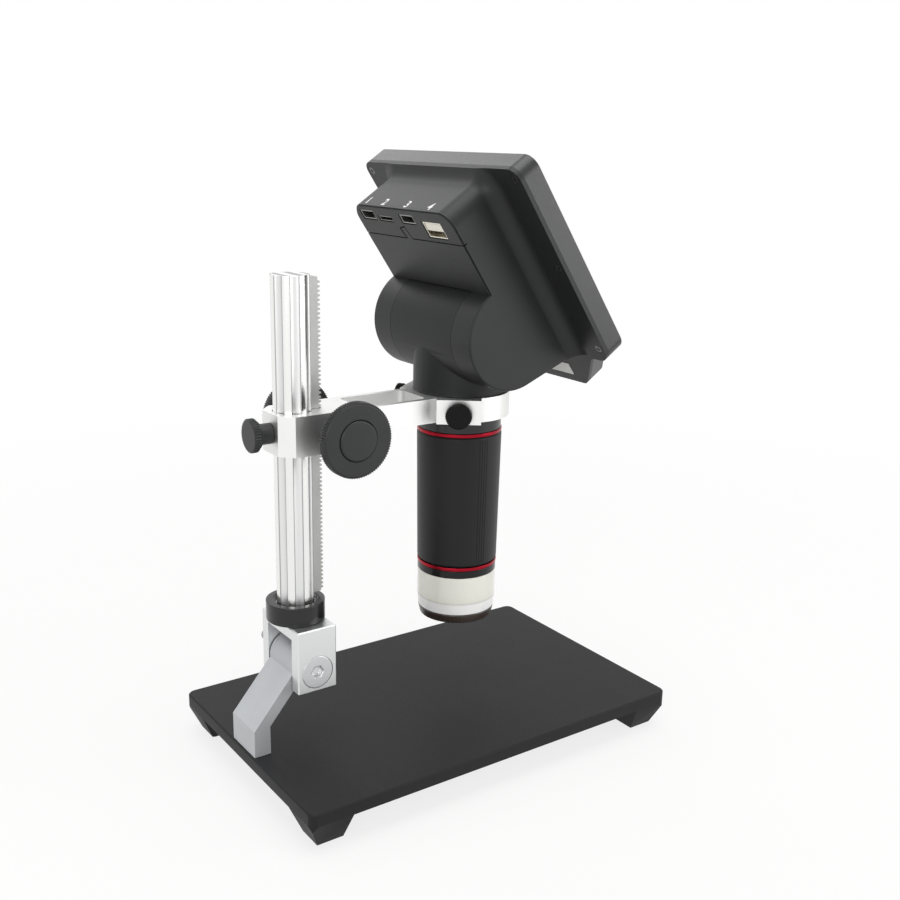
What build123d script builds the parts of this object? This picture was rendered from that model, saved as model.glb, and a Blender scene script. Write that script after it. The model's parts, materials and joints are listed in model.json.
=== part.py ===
from build123d import *
import os
from math import atan2, cos, pi, radians, sin, sqrt, tan

# LCD digital microscope on a rack-and-pinion stand. Millimetres, +Z up.
# Origin: centre of the base on the surface it stands on. +X runs from the post to the front edge of
# the base, +Y to the left of someone who faces +X.

# ---------------------------------------------------------------- fits and clearances
RUN = 0.06             # radial running clearance of a shaft, pin or screw in its hole
GLIDE = 0.08           # radial clearance of the larger sliding and turning tubes
GAP = 0.3              # air between faces of parts that move past each other
BEARING = 0.1          # axial play between washers and the faces they rub on

# ---------------------------------------------------------------- base
BASE_L = 200.0         # along X
BASE_W = 128.0         # along Y
BASE_TOP = 19.2        # work surface above the bench
RIM_H = 5.8            # depth of the tray's rim
RIM_T = 2.0
PLATE_T = 3.0
BASE_CORNER_R = 4.0
FOOT_TOP = 20.0        # side of a foot where it leaves the rim
FOOT_INSET = 5.4       # outer faces lean in by this much at the bench
FOOT_END = 17.8        # inner faces, measured from the corner, at the bench
PAD_T = 1.2
PAD_INSET = 1.6

# ---------------------------------------------------------------- bracket and tilting knuckle
BRACKET_W = 21.8
BRACKET_SETBACK = 0.8  # from the base's back edge
BRACKET_BACK = BRACKET_SETBACK - BASE_L / 2
BRACKET_T = 7.9
LEAN_DEG = 50.0        # slope of the leaning web
LEAN_OFF = 6.2         # the web's back face to the pivot's axis
LEAN_T = 5.7
PIVOT_AHEAD = 28.2     # from the bracket's back face
PIVOT_X = BRACKET_BACK + PIVOT_AHEAD
PIVOT_Z = 55.8
TONGUE_R = 9.2
PIVOT_R = 4.0
PIVOT_HEAD_R = 7.5
PIVOT_HEAD_T = 2.6
PIVOT_SOCKET = 5.0     # across flats
KNUCKLE_L = 19.0       # along X
KNUCKLE_W = 34.6       # along Y
KNUCKLE_TOP = 76.2
KNUCKLE_BOTTOM = 46.8
KNUCKLE_SLOT = 22.8    # between the cheeks
KNUCKLE_ROOF = 71.2    # underside of the bridge between them
WASHER_R = 8.2
SET_SCREW_R = 2.7
SET_SCREW_PROUD = 1.6
SET_SCREW_RISE = 6.2   # above the pivot
BRACKET_SCREW_R = 2.0
BRACKET_SCREW_PITCH = 12.0
BRACKET_SCREW_L = 10.0 # in the bracket

# ---------------------------------------------------------------- column, rack and collar
COLUMN_BEHIND = 1.4    # column's axis behind the pivot
COLUMN_X = PIVOT_X - COLUMN_BEHIND
COLUMN_R = 8.3
COLUMN_TOP = 228.0
COLUMN_FOOT = 76.6
COLUMN_BORE_R = 2.5
COLUMN_THREAD = 12.0   # depth of the screw in the column
FLUTE_COUNT = 7        # one of them carries the rack
FLUTE_R = 3.5
FLUTE_DEPTH = 0.95
RACK_W = 5.0
RACK_TIPS = 12.7       # column's axis to the tooth tips
RACK_FRONT = COLUMN_X + RACK_TIPS
RACK_SEAT = 6.4        # column's axis to the rack's back
RACK_BACK = COLUMN_X + RACK_SEAT
RACK_TOP = 226.6
RACK_FOOT = 87.0
MODULE = 0.6
PINION_TEETH = 12
PINION_W = 7.0
RACK_ADDENDUM = 0.42
RACK_DEDENDUM = 0.75
BACKLASH = 0.10
PRESSURE_ANGLE = 20.0
COLLAR_R = 13.05
COLLAR_H = 9.0
COLLAR_LIP = 1.7
SPIGOT_R = 10.4
SPIGOT_H = 7.0

# ---------------------------------------------------------------- carriage, arm and clamp ring
CARRIAGE_REAR = 10.4   # column's axis to the carriage's back face
CARRIAGE_BACK = COLUMN_X - CARRIAGE_REAR
CARRIAGE_L = 38.8
CARRIAGE_FRONT = CARRIAGE_BACK + CARRIAGE_L
CARRIAGE_W = 25.2
CARRIAGE_TOP = 170.6
CARRIAGE_BOTTOM = 153.1
CARRIAGE_CHAMFER = 5.5
ARM_BOTTOM = 159.5
ARM_WALL = 2.5
REACH = 87.6           # column's axis to the camera tube's axis
SCOPE_X = COLUMN_X + REACH
WINDOW_AWAY = 25.8     # camera tube's axis to the window
WINDOW_FRONT = SCOPE_X - WINDOW_AWAY
WINDOW_R = 3.0
RING_R = 23.0
BOSS_ANGLE = 53.5      # ring screws, from the arm's direction
BOSS_DIST = 26.3       # ring axis to the screw's flat
BOSS_W = 20.0
FOCUS_Z = 161.3        # pinion axis
BUSH_R = 5.0
SHAFT_R = 2.5
KNOB_R = 16.4
KNOB_FACE = 28.6       # outer face of each knob from the mid plane
KNOB_T = 4.6
KNOB_HUB_R = 7.0
KNOB_GRIP_COUNT = 72
KNOB_CAP_R = 8.8
KNOB_CAP_T = 2.2
KNOB_CAP_PROUD = 0.8
LOCK_R = 7.3
LOCK_T = 3.2
LOCK_L = 10.1          # carriage's back face to the outer face of the lock screw's head
LOCK_END = CARRIAGE_BACK - LOCK_L
LOCK_HUB_R = 4.5
LOCK_Z = 161.9
SCREW_R = 2.0          # shank of the lock and ring screws
RING_SCREW_R = 6.1
RING_SCREW_END = 31.4  # outer face of the head from the ring's axis
RING_SCREW_T = 3.4
RING_SCREW_HUB_R = 3.2
RING_SCREW_Z = 164.3
SCREW_GRIP_COUNT = 30
GROOVE = 0.7           # side of the square tool that cuts a grip

# ---------------------------------------------------------------- camera tube
BARREL_R = 19.5        # inside the clamp ring
TUBE_R = 17.0          # inside the sleeve
TUBE_BORE_R = 14.6
TUBE_FOOT = 80.2
SEAT_BORE_R = 15.2     # wider bore above the camera board's shoulder
SEAT_Z = 150.0
SLEEVE_TOP_R = 19.95
SLEEVE_FOOT_R = 19.1
SLEEVE_FOOT = 88.3
TRIM_T = 1.7
LOWER_TRIM_Z = 86.3
UPPER_TRIM_Z = 151.5
DIFFUSER_R = 18.9
DIFFUSER_FOOT = 63.9
DIFFUSER_TOP = 82.7
DIFFUSER_STEP = 70.2
DIFFUSER_WALL = 2.0
NOSE_R = 18.3
NOSE_T = 4.3
NOSE_FOOT = DIFFUSER_FOOT - NOSE_T
NOSE_BORE_R = 12.0
LED_COUNT = 8
LED_PITCH_R = 12.2
LED_R = 1.7
LED_H = 1.6
BOARD_T = 1.6
LENS_CELL_R = 7.8
LENS_R = 6.2
LENS_CELL_FOOT = 71.6
LENS_CELL_TOP = 104.0
CARRIER_H = 10.0
CARRIER_HOLE_R = 2.0
CAMERA_BOARD_R = 14.9
SENSOR_SIDE = 12.0
SENSOR_H = 4.0
CAMERA_SCREW_R = 1.0
RIBBON_W = 10.0
RIBBON_T = 0.4

# ---------------------------------------------------------------- neck and tilt hinge
NECK_R = 22.0
NECK_FOOT = CARRIAGE_TOP + GAP
TILT_Z = 199.7         # tilt axis, along Y through the camera tube's axis
TILT_DEG = 34.4        # the screen's normal above the horizon
HINGE_R = 23.3         # neck's barrel
HINGE_HALF = 24.4
HINGE_WALL = 2.4
SPIGOT_TOP = 179.0
AXLE_R = 4.0
TILT_WASHER_R = 12.0
TILT_WASHER_T = 0.8    # each washer lies in a pocket of the barrel's end
HINGE_PLAY = 0.2       # barrel's end to the cheek

# ---------------------------------------------------------------- head: N out of the screen, U left, V up it
CHEEK_R = HINGE_R
HEAD_HALF = 38.5       # half width of the port box and cheeks
AXLE_COVER = 4.5       # cheek's outer face to the end of the axle
AXLE_HALF = HEAD_HALF - AXLE_COVER
CHEEK_INNER = HINGE_HALF + HINGE_PLAY
BARREL_ROOM_R = HINGE_R + 0.5
SHELL_T = 2.2
BOX_BACK = 0.3         # N of the port panel's face
BOX_TOP = 64.6
BOX_CORNER_R = 8.0
CHEEK_SLOPE = 12.0     # lean of the lower wall
PLATE_BACK = 25.9      # N of the bezel's back
BEZEL_FRONT = 37.1
FRAME_BACK = 27.9      # parting plane between rear shell and front frame
BEZEL_HALF = 58.6
BEZEL_TOP = 69.2
BEZEL_BOTTOM = -31.0
BEZEL_CORNER_R = 6.0
CHIN_TOP_HALF = 46.4
CHIN_HALF = 33.0
CHIN_BOTTOM = -49.6
CHIN_R = 4.5
COVE = 7.0             # radius of the hollow flare between the port box and the bezel's back
PARTING_V = 48.7       # lower edge of the port panel
PANEL_T = 1.8
PANEL_LEDGE = 0.5      # width of the lip that the port panel rests on
PANEL_FIT = 0.3        # air around the sockets
PANEL_SEAM = 0.5       # width of the port panel's parting seam
STEP_W, STEP_D = 0.7, 0.6  # shadow line round the edge of the box's back
TAB_LEAN = 14.0        # lean of the shell's catch tab and of the slit beside it
TAB_U, TAB_W, TAB_H = 1.7, 3.5, 6.0
SLIT_U, SLIT_RISE = 4.8, 3.35
SLIT_W, SLIT_L = 1.1, 4.7
BOX_LONG = 2 * (BOX_TOP - CHIN_BOTTOM)  # any length beyond the head's size
LCD_W, LCD_H, LCD_T = 105.0, 66.8, 3.0
VIEW_W, VIEW_H = 96.0, 55.0
SCREEN_V = 31.5        # centre of the screen
GLASS_LAP = 2.5
GLASS_T = 1.2
FRONT_T = 2.8
SHELL_SCREW_U = 54.7
SHELL_SCREW_V = (64.2, 20.2, -24.0)
SHELL_SCREW_R = 1.1
SHELL_SCREW_HEAD_R = 1.9
SHELL_EDGE = 0.8       # rounding of the cheeks' rims
BUTTON_R = 4.0
BUTTON_PITCH = 18.0
BUTTON_V = -17.0
BUTTON_COUNT = 5
BUTTON_PROUD = 0.7
BUTTON_TRAVEL = 0.5
LABEL_HALF = 26.3
LABEL_BOTTOM, LABEL_TOP = -45.0, -38.4
LABEL_T = 0.25
PORT_BOARD_V = 57.2    # upper face of the port board
BOARD_FIT = 0.2        # between a board's edge and the shell
PORT_BOARD_HALF = HEAD_HALF - SHELL_T - BOARD_FIT
BOARD_AWAY = 3.0       # bezel's back to the back of the main board
MAIN_BOARD_RISE = 8.0  # hinge's barrel to the main board's lower edge
# sockets on the port panel: centre as a share of the half width, lower face V, width, height, depth
TONGUE_IN = 4.0        # from a socket's mouth to its contact tongue
SOCKETS = {
    "left": (0.712 * HEAD_HALF, PORT_BOARD_V, 10.8, 4.6, 9.0),
    "card": (0.348 * HEAD_HALF, PORT_BOARD_V, 10.6, 2.4, 14.0),
    "middle": (-0.12 * HEAD_HALF, PORT_BOARD_V, 10.2, 4.4, 9.0),
    "wide": (-0.575 * HEAD_HALF, 51.2, 13.6, 7.9, 14.0),
}


# ---------------------------------------------------------------- small helpers
def block(x0, x1, y0, y1, z0, z1):
    return Pos((x0 + x1) / 2, (y0 + y1) / 2, (z0 + z1) / 2) * Box(abs(x1 - x0), abs(y1 - y0), abs(z1 - z0))


def rod_x(r, x0, x1, y, z):
    return Pos((x0 + x1) / 2, y, z) * Rot(0, 90, 0) * Cylinder(r, abs(x1 - x0))


def rod_y(r, y0, y1, x, z):
    return Pos(x, (y0 + y1) / 2, z) * Rot(90, 0, 0) * Cylinder(r, abs(y1 - y0))


def rod_z(r, z0, z1, x=0.0, y=0.0):
    return Pos(x, y, (z0 + z1) / 2) * Cylinder(r, abs(z1 - z0))


def scope_rod(r, z0, z1):
    return rod_z(r, z0, z1, SCOPE_X)


def scope_tube_piece(outer, inner, z0, z1):
    return scope_rod(outer, z0, z1) - scope_rod(inner, z0 - 1, z1 + 1)


def side_prism(points, y0, y1):
    """Prism between y0 and y1 over an outline given in X and Z."""
    face = make_face(Polyline(*points, close=True))
    return Pos(0, y1, 0) * extrude(Plane.XZ * face, amount=abs(y1 - y0))


def hexagon_y(flats, y0, y1, x, z):
    tool = extrude(RegularPolygon(flats / 2, 6, major_radius=False), amount=abs(y1 - y0))
    return Pos(x, max(y0, y1), z) * Rot(90, 0, 0) * tool


def grip_x(radius, count, x0, x1):
    """Knurled disc about the X axis: a round with V grooves cut along its edge."""
    groove = Pos((x0 + x1) / 2, 0, radius) * Rot(45, 0, 0) * Box(x1 - x0 + 2, GROOVE, GROOVE)
    return rod_x(radius, x0, x1, 0, 0) - [Rot(360 / count * i, 0, 0) * groove for i in range(count)]


def tilted(shape):
    """Carry a shape from the head's own frame (X = N, Y = U, Z = V) to its place on the tilt axis."""
    return Pos(SCOPE_X, 0, TILT_Z) * Rot(0, -TILT_DEG, 0) * shape


def save(name, shape):
    export_step(shape, f"parts/{name}.step")


# ---------------------------------------------------------------- base
def base_foot():
    top = Plane.XY.offset(BASE_TOP - RIM_H)
    low = Plane.XY.offset(PAD_T)
    upper = Pos(FOOT_TOP / 2, FOOT_TOP / 2) * Rectangle(FOOT_TOP, FOOT_TOP)
    side = FOOT_END - FOOT_INSET
    lower = Pos(FOOT_INSET + side / 2, FOOT_INSET + side / 2) * Rectangle(side, side)
    return loft([low * lower, top * upper])


def at_corners(shape):
    """The same shape at the four corners of the base, mirrored so that it faces inwards."""
    here = Pos(-BASE_L / 2, -BASE_W / 2, 0) * shape
    near = [here, mirror(here, Plane.YZ)]
    return near + [mirror(s, Plane.XZ) for s in near]


def base_tray():
    top = Plane.XY.offset(BASE_TOP - RIM_H) * RectangleRounded(BASE_L, BASE_W, BASE_CORNER_R)
    tray = extrude(top, amount=RIM_H)
    tray = chamfer(tray.faces().sort_by(Axis.Z)[-1].edges(), 0.6)
    hollow = RectangleRounded(BASE_L - 2 * RIM_T, BASE_W - 2 * RIM_T, BASE_CORNER_R - RIM_T)
    tray -= extrude(Plane.XY.offset(BASE_TOP - RIM_H - 1) * hollow, amount=RIM_H - PLATE_T + 1)
    for foot in at_corners(base_foot() + block(BASE_CORNER_R, FOOT_TOP, BASE_CORNER_R, FOOT_TOP,
                                               BASE_TOP - RIM_H - 0.5, BASE_TOP - PLATE_T)):
        tray += foot
    corner = extrude(Plane.XY * RectangleRounded(BASE_L, BASE_W, BASE_CORNER_R), amount=BASE_TOP)
    tray &= corner
    for x, y in bracket_screw_spots():
        tray -= rod_z(BRACKET_SCREW_R + RUN, 0, BASE_TOP + 1, x, y)
    return tray


def foot_pads():
    side = FOOT_END - FOOT_INSET - 2 * PAD_INSET
    mid = (FOOT_INSET + FOOT_END) / 2
    pad = Pos(mid, mid, PAD_T / 2) * Box(side, side, PAD_T)
    return Compound(children=at_corners(pad))


def bracket_screw_spots():
    x = BRACKET_BACK + BRACKET_T / 2 + 0.6
    return [(x, s * BRACKET_SCREW_PITCH / 2) for s in (-1, 1)]


def bracket_screws():
    head_top = BASE_TOP - PLATE_T
    screws = []
    for x, y in bracket_screw_spots():
        shank = rod_z(BRACKET_SCREW_R, head_top, BASE_TOP + BRACKET_SCREW_L, x, y)
        head = rod_z(BRACKET_SCREW_R * 1.6, head_top - 2.4, head_top, x, y)
        slot = block(x - 0.4, x + 0.4, y - 2.6, y + 2.6, head_top - 3, head_top - 1.4)
        screws.append(shank + head - slot)
    return Compound(children=screws)


def lean_point(offset, along):
    """A point in X and Z: offset square to the leaning web from the pivot, and along its slope."""
    c, s = cos(radians(LEAN_DEG)), sin(radians(LEAN_DEG))
    return PIVOT_X - offset * s + along * c, PIVOT_Z + offset * c + along * s


def lean_knee(offset, x):
    """Where the line at that offset from the pivot crosses a vertical face at x."""
    c, s = cos(radians(LEAN_DEG)), sin(radians(LEAN_DEG))
    return lean_point(offset, (x - PIVOT_X + offset * s) / c)


def bracket_arm():
    inner = LEAN_OFF - LEAN_T
    front = BRACKET_BACK + BRACKET_T
    outline = [(BRACKET_BACK, BASE_TOP), lean_knee(LEAN_OFF, BRACKET_BACK), lean_point(LEAN_OFF, 0),
               lean_point(inner, 0), lean_knee(inner, front), (front, BASE_TOP)]
    half = BRACKET_W / 2
    arm = side_prism(outline, -half, half) + rod_y(TONGUE_R, -half, half, PIVOT_X, PIVOT_Z)
    arm -= rod_y(PIVOT_R + RUN, -half - 1, half + 1, PIVOT_X, PIVOT_Z)
    for x, y in bracket_screw_spots():
        arm -= rod_z(BRACKET_SCREW_R, BASE_TOP - 1, BASE_TOP + BRACKET_SCREW_L, x, y)
    return arm


# ---------------------------------------------------------------- knuckle, column and collar
def knuckle_block():
    x0, x1 = PIVOT_X - KNUCKLE_L / 2, PIVOT_X + KNUCKLE_L / 2
    half = KNUCKLE_W / 2
    body = block(x0, x1, -half, half, KNUCKLE_BOTTOM, KNUCKLE_TOP)
    body = chamfer(body.edges(), 0.5)
    body += rod_z(SPIGOT_R, KNUCKLE_TOP - 1, KNUCKLE_TOP + SPIGOT_H, COLUMN_X)
    body -= block(x0 - 1, x1 + 1, -KNUCKLE_SLOT / 2, KNUCKLE_SLOT / 2, KNUCKLE_BOTTOM - 1, KNUCKLE_ROOF)
    body -= rod_y(PIVOT_R, -half - 1, half + 1, PIVOT_X, PIVOT_Z)
    for s in (-1, 1):
        body -= rod_y(PIVOT_HEAD_R + RUN, s * (half - PIVOT_HEAD_T), s * (half + 1), PIVOT_X, PIVOT_Z)
    body -= rod_z(COLUMN_R, COLUMN_FOOT, KNUCKLE_TOP + SPIGOT_H + 1, COLUMN_X)
    body -= column_screw_form()
    body -= set_screw_form()
    return body


def pivot_bolt():
    half = KNUCKLE_W / 2
    bolt = rod_y(PIVOT_R, -half, half - PIVOT_HEAD_T + 1.6, PIVOT_X, PIVOT_Z)
    bolt += rod_y(PIVOT_HEAD_R, -half, -half + PIVOT_HEAD_T, PIVOT_X, PIVOT_Z)
    return bolt - hexagon_y(PIVOT_SOCKET, -half - 1, -half + PIVOT_HEAD_T, PIVOT_X, PIVOT_Z)


def pivot_nut():
    half = KNUCKLE_W / 2
    nut = rod_y(PIVOT_HEAD_R, half - PIVOT_HEAD_T, half, PIVOT_X, PIVOT_Z)
    nut -= rod_y(PIVOT_R, half - PIVOT_HEAD_T - 1, half - PIVOT_HEAD_T + 1.6, PIVOT_X, PIVOT_Z)
    for x in (PIVOT_X - PIVOT_HEAD_R / 2 - 1, PIVOT_X + PIVOT_HEAD_R / 2 + 1):
        nut -= rod_y(0.9, half - 1.4, half + 1, x, PIVOT_Z)
    return nut


def pivot_washers():
    inner, outer = BRACKET_W / 2 + BEARING, KNUCKLE_SLOT / 2
    washers = []
    for s in (-1, 1):
        disc = rod_y(WASHER_R, s * inner, s * outer, PIVOT_X, PIVOT_Z)
        washers.append(disc - rod_y(PIVOT_R, s * (inner - 1), s * (outer + 1), PIVOT_X, PIVOT_Z))
    return Compound(children=washers)


def set_screw_form():
    x = PIVOT_X - KNUCKLE_L / 2 + SET_SCREW_R
    z = PIVOT_Z + SET_SCREW_RISE
    half = KNUCKLE_W / 2
    head = rod_y(SET_SCREW_R, half, half + SET_SCREW_PROUD, x, z)
    return head + rod_y(SET_SCREW_R / 2, KNUCKLE_SLOT / 2 + GAP, half, x, z)


def knuckle_set_screw():
    x = PIVOT_X - KNUCKLE_L / 2 + SET_SCREW_R
    y = KNUCKLE_W / 2 + SET_SCREW_PROUD
    return set_screw_form() - hexagon_y(SET_SCREW_R, y - 1, y + 1, x, PIVOT_Z + SET_SCREW_RISE)


def column_screw_form():
    head = Cone(2 * COLUMN_BORE_R, COLUMN_BORE_R, COLUMN_BORE_R)
    head = Pos(COLUMN_X, 0, KNUCKLE_ROOF + COLUMN_BORE_R / 2) * head
    return head + rod_z(COLUMN_BORE_R, KNUCKLE_ROOF, COLUMN_FOOT + COLUMN_THREAD, COLUMN_X)


def column_screw():
    socket = extrude(RegularPolygon(1.5, 6, major_radius=False), amount=2)
    return column_screw_form() - Pos(COLUMN_X, 0, KNUCKLE_ROOF - 0.5) * socket


def column():
    post = rod_z(COLUMN_R, COLUMN_FOOT, COLUMN_TOP, COLUMN_X)
    low = KNUCKLE_TOP + SPIGOT_H
    for i in range(1, FLUTE_COUNT):
        a = 2 * pi * i / FLUTE_COUNT
        reach = COLUMN_R + FLUTE_R - FLUTE_DEPTH
        post -= rod_z(FLUTE_R, low, COLUMN_TOP + 1, COLUMN_X + reach * cos(a), reach * sin(a))
    post -= block(RACK_BACK, COLUMN_X + COLUMN_R + 1, -RACK_W / 2, RACK_W / 2, RACK_FOOT, RACK_TOP)
    return post - rod_z(COLUMN_BORE_R, COLUMN_FOOT - 1, COLUMN_FOOT + COLUMN_THREAD, COLUMN_X)


PINION_R = MODULE * PINION_TEETH / 2
PITCH = pi * MODULE
PITCH_LINE = RACK_FRONT - RACK_ADDENDUM
PINION_X = PITCH_LINE + PINION_R


def rack():
    """Toothed bar; a space between two teeth lies level with the pinion's axis."""
    flank = tan(radians(PRESSURE_ANGLE))
    half_pitch_tooth = PITCH / 4 - BACKLASH / 4
    root_half = half_pitch_tooth + RACK_DEDENDUM * flank
    tip_half = half_pitch_tooth - RACK_ADDENDUM * flank
    root = PITCH_LINE - RACK_DEDENDUM
    first = FOCUS_Z + PITCH / 2 - PITCH * int((FOCUS_Z - RACK_FOOT) / PITCH)
    outline = [(RACK_BACK, RACK_TOP), (RACK_BACK, RACK_FOOT), (root, RACK_FOOT)]
    z = first
    while z + root_half < RACK_TOP - 0.2:
        outline += [(root, z - root_half), (RACK_FRONT, z - tip_half),
                    (RACK_FRONT, z + tip_half), (root, z + root_half)]
        z += PITCH
    outline.append((root, RACK_TOP))
    return side_prism(outline, -RACK_W / 2, RACK_W / 2)


def collar_nut():
    z0, z1 = KNUCKLE_TOP + BEARING, KNUCKLE_TOP + COLLAR_H
    nut = rod_z(COLLAR_R, z0, z1, COLUMN_X)
    nut = chamfer(nut.edges().filter_by(GeomType.CIRCLE), 0.5)
    nut -= rod_z(SPIGOT_R + RUN, z0 - 1, z1 - COLLAR_LIP, COLUMN_X)
    return nut - rod_z(COLUMN_R + 2 * GAP, z0, z1 + 1, COLUMN_X)


# ---------------------------------------------------------------- carriage and its drive
def at_boss(shape, side):
    """Turn a shape built along +X from the ring's axis to the ring screw on one side."""
    return Pos(SCOPE_X, 0, 0) * Rot(0, 0, side * (180 - BOSS_ANGLE)) * shape


def carriage_arm():
    half = CARRIAGE_W / 2
    back = block(CARRIAGE_BACK, CARRIAGE_FRONT, -half, half, CARRIAGE_BOTTOM, CARRIAGE_TOP)
    corner = [e for e in back.edges().filter_by(Axis.Z) if e.center().X < CARRIAGE_BACK + 1]
    back = chamfer(corner, CARRIAGE_CHAMFER)
    body = back + block(CARRIAGE_FRONT - 1, SCOPE_X - half, -half, half, ARM_BOTTOM, CARRIAGE_TOP)
    body += scope_rod(RING_R, ARM_BOTTOM, CARRIAGE_TOP)
    for s in (-1, 1):
        pad = block(0, BOSS_DIST, -BOSS_W / 2, BOSS_W / 2, ARM_BOTTOM, CARRIAGE_TOP)
        body += at_boss(pad, s)
    window = block(CARRIAGE_FRONT, WINDOW_FRONT, -half + ARM_WALL, half - ARM_WALL, ARM_BOTTOM - 1,
                   CARRIAGE_TOP + 1)
    body -= fillet(window.edges().filter_by(Axis.Z), WINDOW_R)
    body -= scope_rod(BARREL_R + GLIDE, ARM_BOTTOM - 1, CARRIAGE_TOP + 1)
    body -= rod_z(COLUMN_R + GLIDE, CARRIAGE_BOTTOM - 1, CARRIAGE_TOP + 1, COLUMN_X)
    slot = RACK_W / 2 + GAP
    body -= block(COLUMN_X, RACK_FRONT + GAP, -slot, slot, CARRIAGE_BOTTOM - 1, CARRIAGE_TOP + 1)
    body -= rod_y(BUSH_R, -half - 1, half + 1, PINION_X, FOCUS_Z)
    body -= rod_x(SCREW_R + RUN, CARRIAGE_BACK - 1, COLUMN_X, 0, LOCK_Z)
    for s in (-1, 1):
        body -= at_boss(rod_x(SCREW_R + RUN, 0, BOSS_DIST + 1, 0, RING_SCREW_Z), s)
    return body


def pinion_bushes():
    inner, outer = PINION_W / 2 + BEARING, CARRIAGE_W / 2
    bushes = []
    for s in (-1, 1):
        bush = rod_y(BUSH_R, s * inner, s * outer, PINION_X, FOCUS_Z)
        bushes.append(bush - rod_y(SHAFT_R + RUN, s * (inner - 1), s * (outer + 1), PINION_X, FOCUS_Z))
    return Compound(children=bushes)


def involute_tooth():
    """Half outline of one tooth, as polar points from the root to the tip."""
    base_r = PINION_R * cos(radians(PRESSURE_ANGLE))
    tip_r = PINION_R + MODULE
    roll = sqrt((PINION_R / base_r) ** 2 - 1)
    start = PITCH / (4 * PINION_R) - BACKLASH / (4 * PINION_R) + (roll - atan2(roll, 1))
    points = [(PINION_R - RACK_ADDENDUM - 0.2, start)]
    steps = 5
    for i in range(steps + 1):
        r = base_r + (tip_r - base_r) * i / steps
        t = sqrt(max((r / base_r) ** 2 - 1, 0))
        points.append((r, start - (t - atan2(t, 1))))
    return points


def pinion_shaft():
    """Steel shaft with its teeth; one tooth points at the rack."""
    outline = []
    for i in range(PINION_TEETH):
        mid = pi + 2 * pi * i / PINION_TEETH
        flank = involute_tooth()
        for r, a in flank:
            outline.append((PINION_X + r * cos(mid - a), FOCUS_Z + r * sin(mid - a)))
        for r, a in reversed(flank):
            outline.append((PINION_X + r * cos(mid + a), FOCUS_Z + r * sin(mid + a)))
    pinion = side_prism(outline, -PINION_W / 2, PINION_W / 2)
    end = KNOB_FACE - KNOB_CAP_T
    return pinion + rod_y(SHAFT_R, -end, end, PINION_X, FOCUS_Z)


def focus_knob(side):
    """Knob about the X axis of its own frame, then turned to point out along Y."""
    hub_in = CARRIAGE_W / 2 + GAP
    knob = grip_x(KNOB_R, KNOB_GRIP_COUNT, KNOB_FACE - KNOB_T, KNOB_FACE)
    knob += rod_x(KNOB_HUB_R, hub_in, KNOB_FACE - 1, 0, 0)
    knob -= rod_x(SHAFT_R, hub_in - 1, KNOB_FACE + 1, 0, 0)
    knob -= rod_x(KNOB_CAP_R, KNOB_FACE - KNOB_CAP_T + KNOB_CAP_PROUD, KNOB_FACE + 1, 0, 0)
    return Pos(PINION_X, 0, FOCUS_Z) * Rot(0, 0, side * 90) * knob


def knob_caps():
    caps = []
    for s in (-1, 1):
        cap = rod_x(KNOB_CAP_R, KNOB_FACE - KNOB_CAP_T + KNOB_CAP_PROUD, KNOB_FACE + KNOB_CAP_PROUD, 0, 0)
        cap = chamfer(cap.faces().sort_by(Axis.X)[-1].edges(), 0.4)
        caps.append(Pos(PINION_X, 0, FOCUS_Z) * Rot(0, 0, s * 90) * cap)
    return Compound(children=caps)


def lock_screw():
    """Thumb screw in the carriage's back; its tip stops just short of the column."""
    head = grip_x(LOCK_R, SCREW_GRIP_COUNT, LOCK_END, LOCK_END + LOCK_T)
    screw = head + rod_x(LOCK_HUB_R, LOCK_END + 1, CARRIAGE_BACK - GAP, 0, 0)
    screw += rod_x(SCREW_R, LOCK_END + 1, COLUMN_X - COLUMN_R - GAP, 0, 0)
    return Pos(0, 0, LOCK_Z) * screw


def ring_screw(side):
    """Thumb screw in the clamp ring; its tip stops just short of the barrel."""
    head = grip_x(RING_SCREW_R, SCREW_GRIP_COUNT, RING_SCREW_END - RING_SCREW_T, RING_SCREW_END)
    screw = head + rod_x(RING_SCREW_HUB_R, BOSS_DIST + GAP, RING_SCREW_END - 1, 0, 0)
    screw += rod_x(SCREW_R, BARREL_R + GAP, RING_SCREW_END - 1, 0, 0)
    return at_boss(Pos(0, 0, RING_SCREW_Z) * screw, side)


# ---------------------------------------------------------------- camera tube
def scope_tube():
    shoulder = UPPER_TRIM_Z + TRIM_T
    tube = scope_rod(TUBE_R, TUBE_FOOT, shoulder + 1) + scope_rod(BARREL_R, shoulder, NECK_FOOT)
    tube += scope_rod(SEAT_BORE_R + 1.6, NECK_FOOT - 1, SPIGOT_TOP)
    tube -= scope_rod(TUBE_BORE_R, TUBE_FOOT - 1, SPIGOT_TOP + 1)
    tube -= scope_rod(SEAT_BORE_R, SEAT_Z, SPIGOT_TOP + 1)
    for x, y in camera_screw_spots():
        tube -= rod_z(CAMERA_SCREW_R, SEAT_Z - 4, SEAT_Z + 1, x, y)
    return tube


def trim_ring(z, outer):
    return scope_tube_piece(outer, TUBE_R, z, z + TRIM_T)


def focus_sleeve():
    top = UPPER_TRIM_Z - BEARING
    sleeve = Pos(SCOPE_X, 0, (SLEEVE_FOOT + top) / 2) * Cone(SLEEVE_FOOT_R, SLEEVE_TOP_R, top - SLEEVE_FOOT)
    sleeve = fillet(sleeve.edges().filter_by(GeomType.CIRCLE), 0.8)
    return sleeve - scope_rod(TUBE_R + GLIDE, SLEEVE_FOOT - 1, top + 1)


def lower_band():
    return scope_tube_piece(DIFFUSER_R, TUBE_R, DIFFUSER_TOP, LOWER_TRIM_Z)


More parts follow.
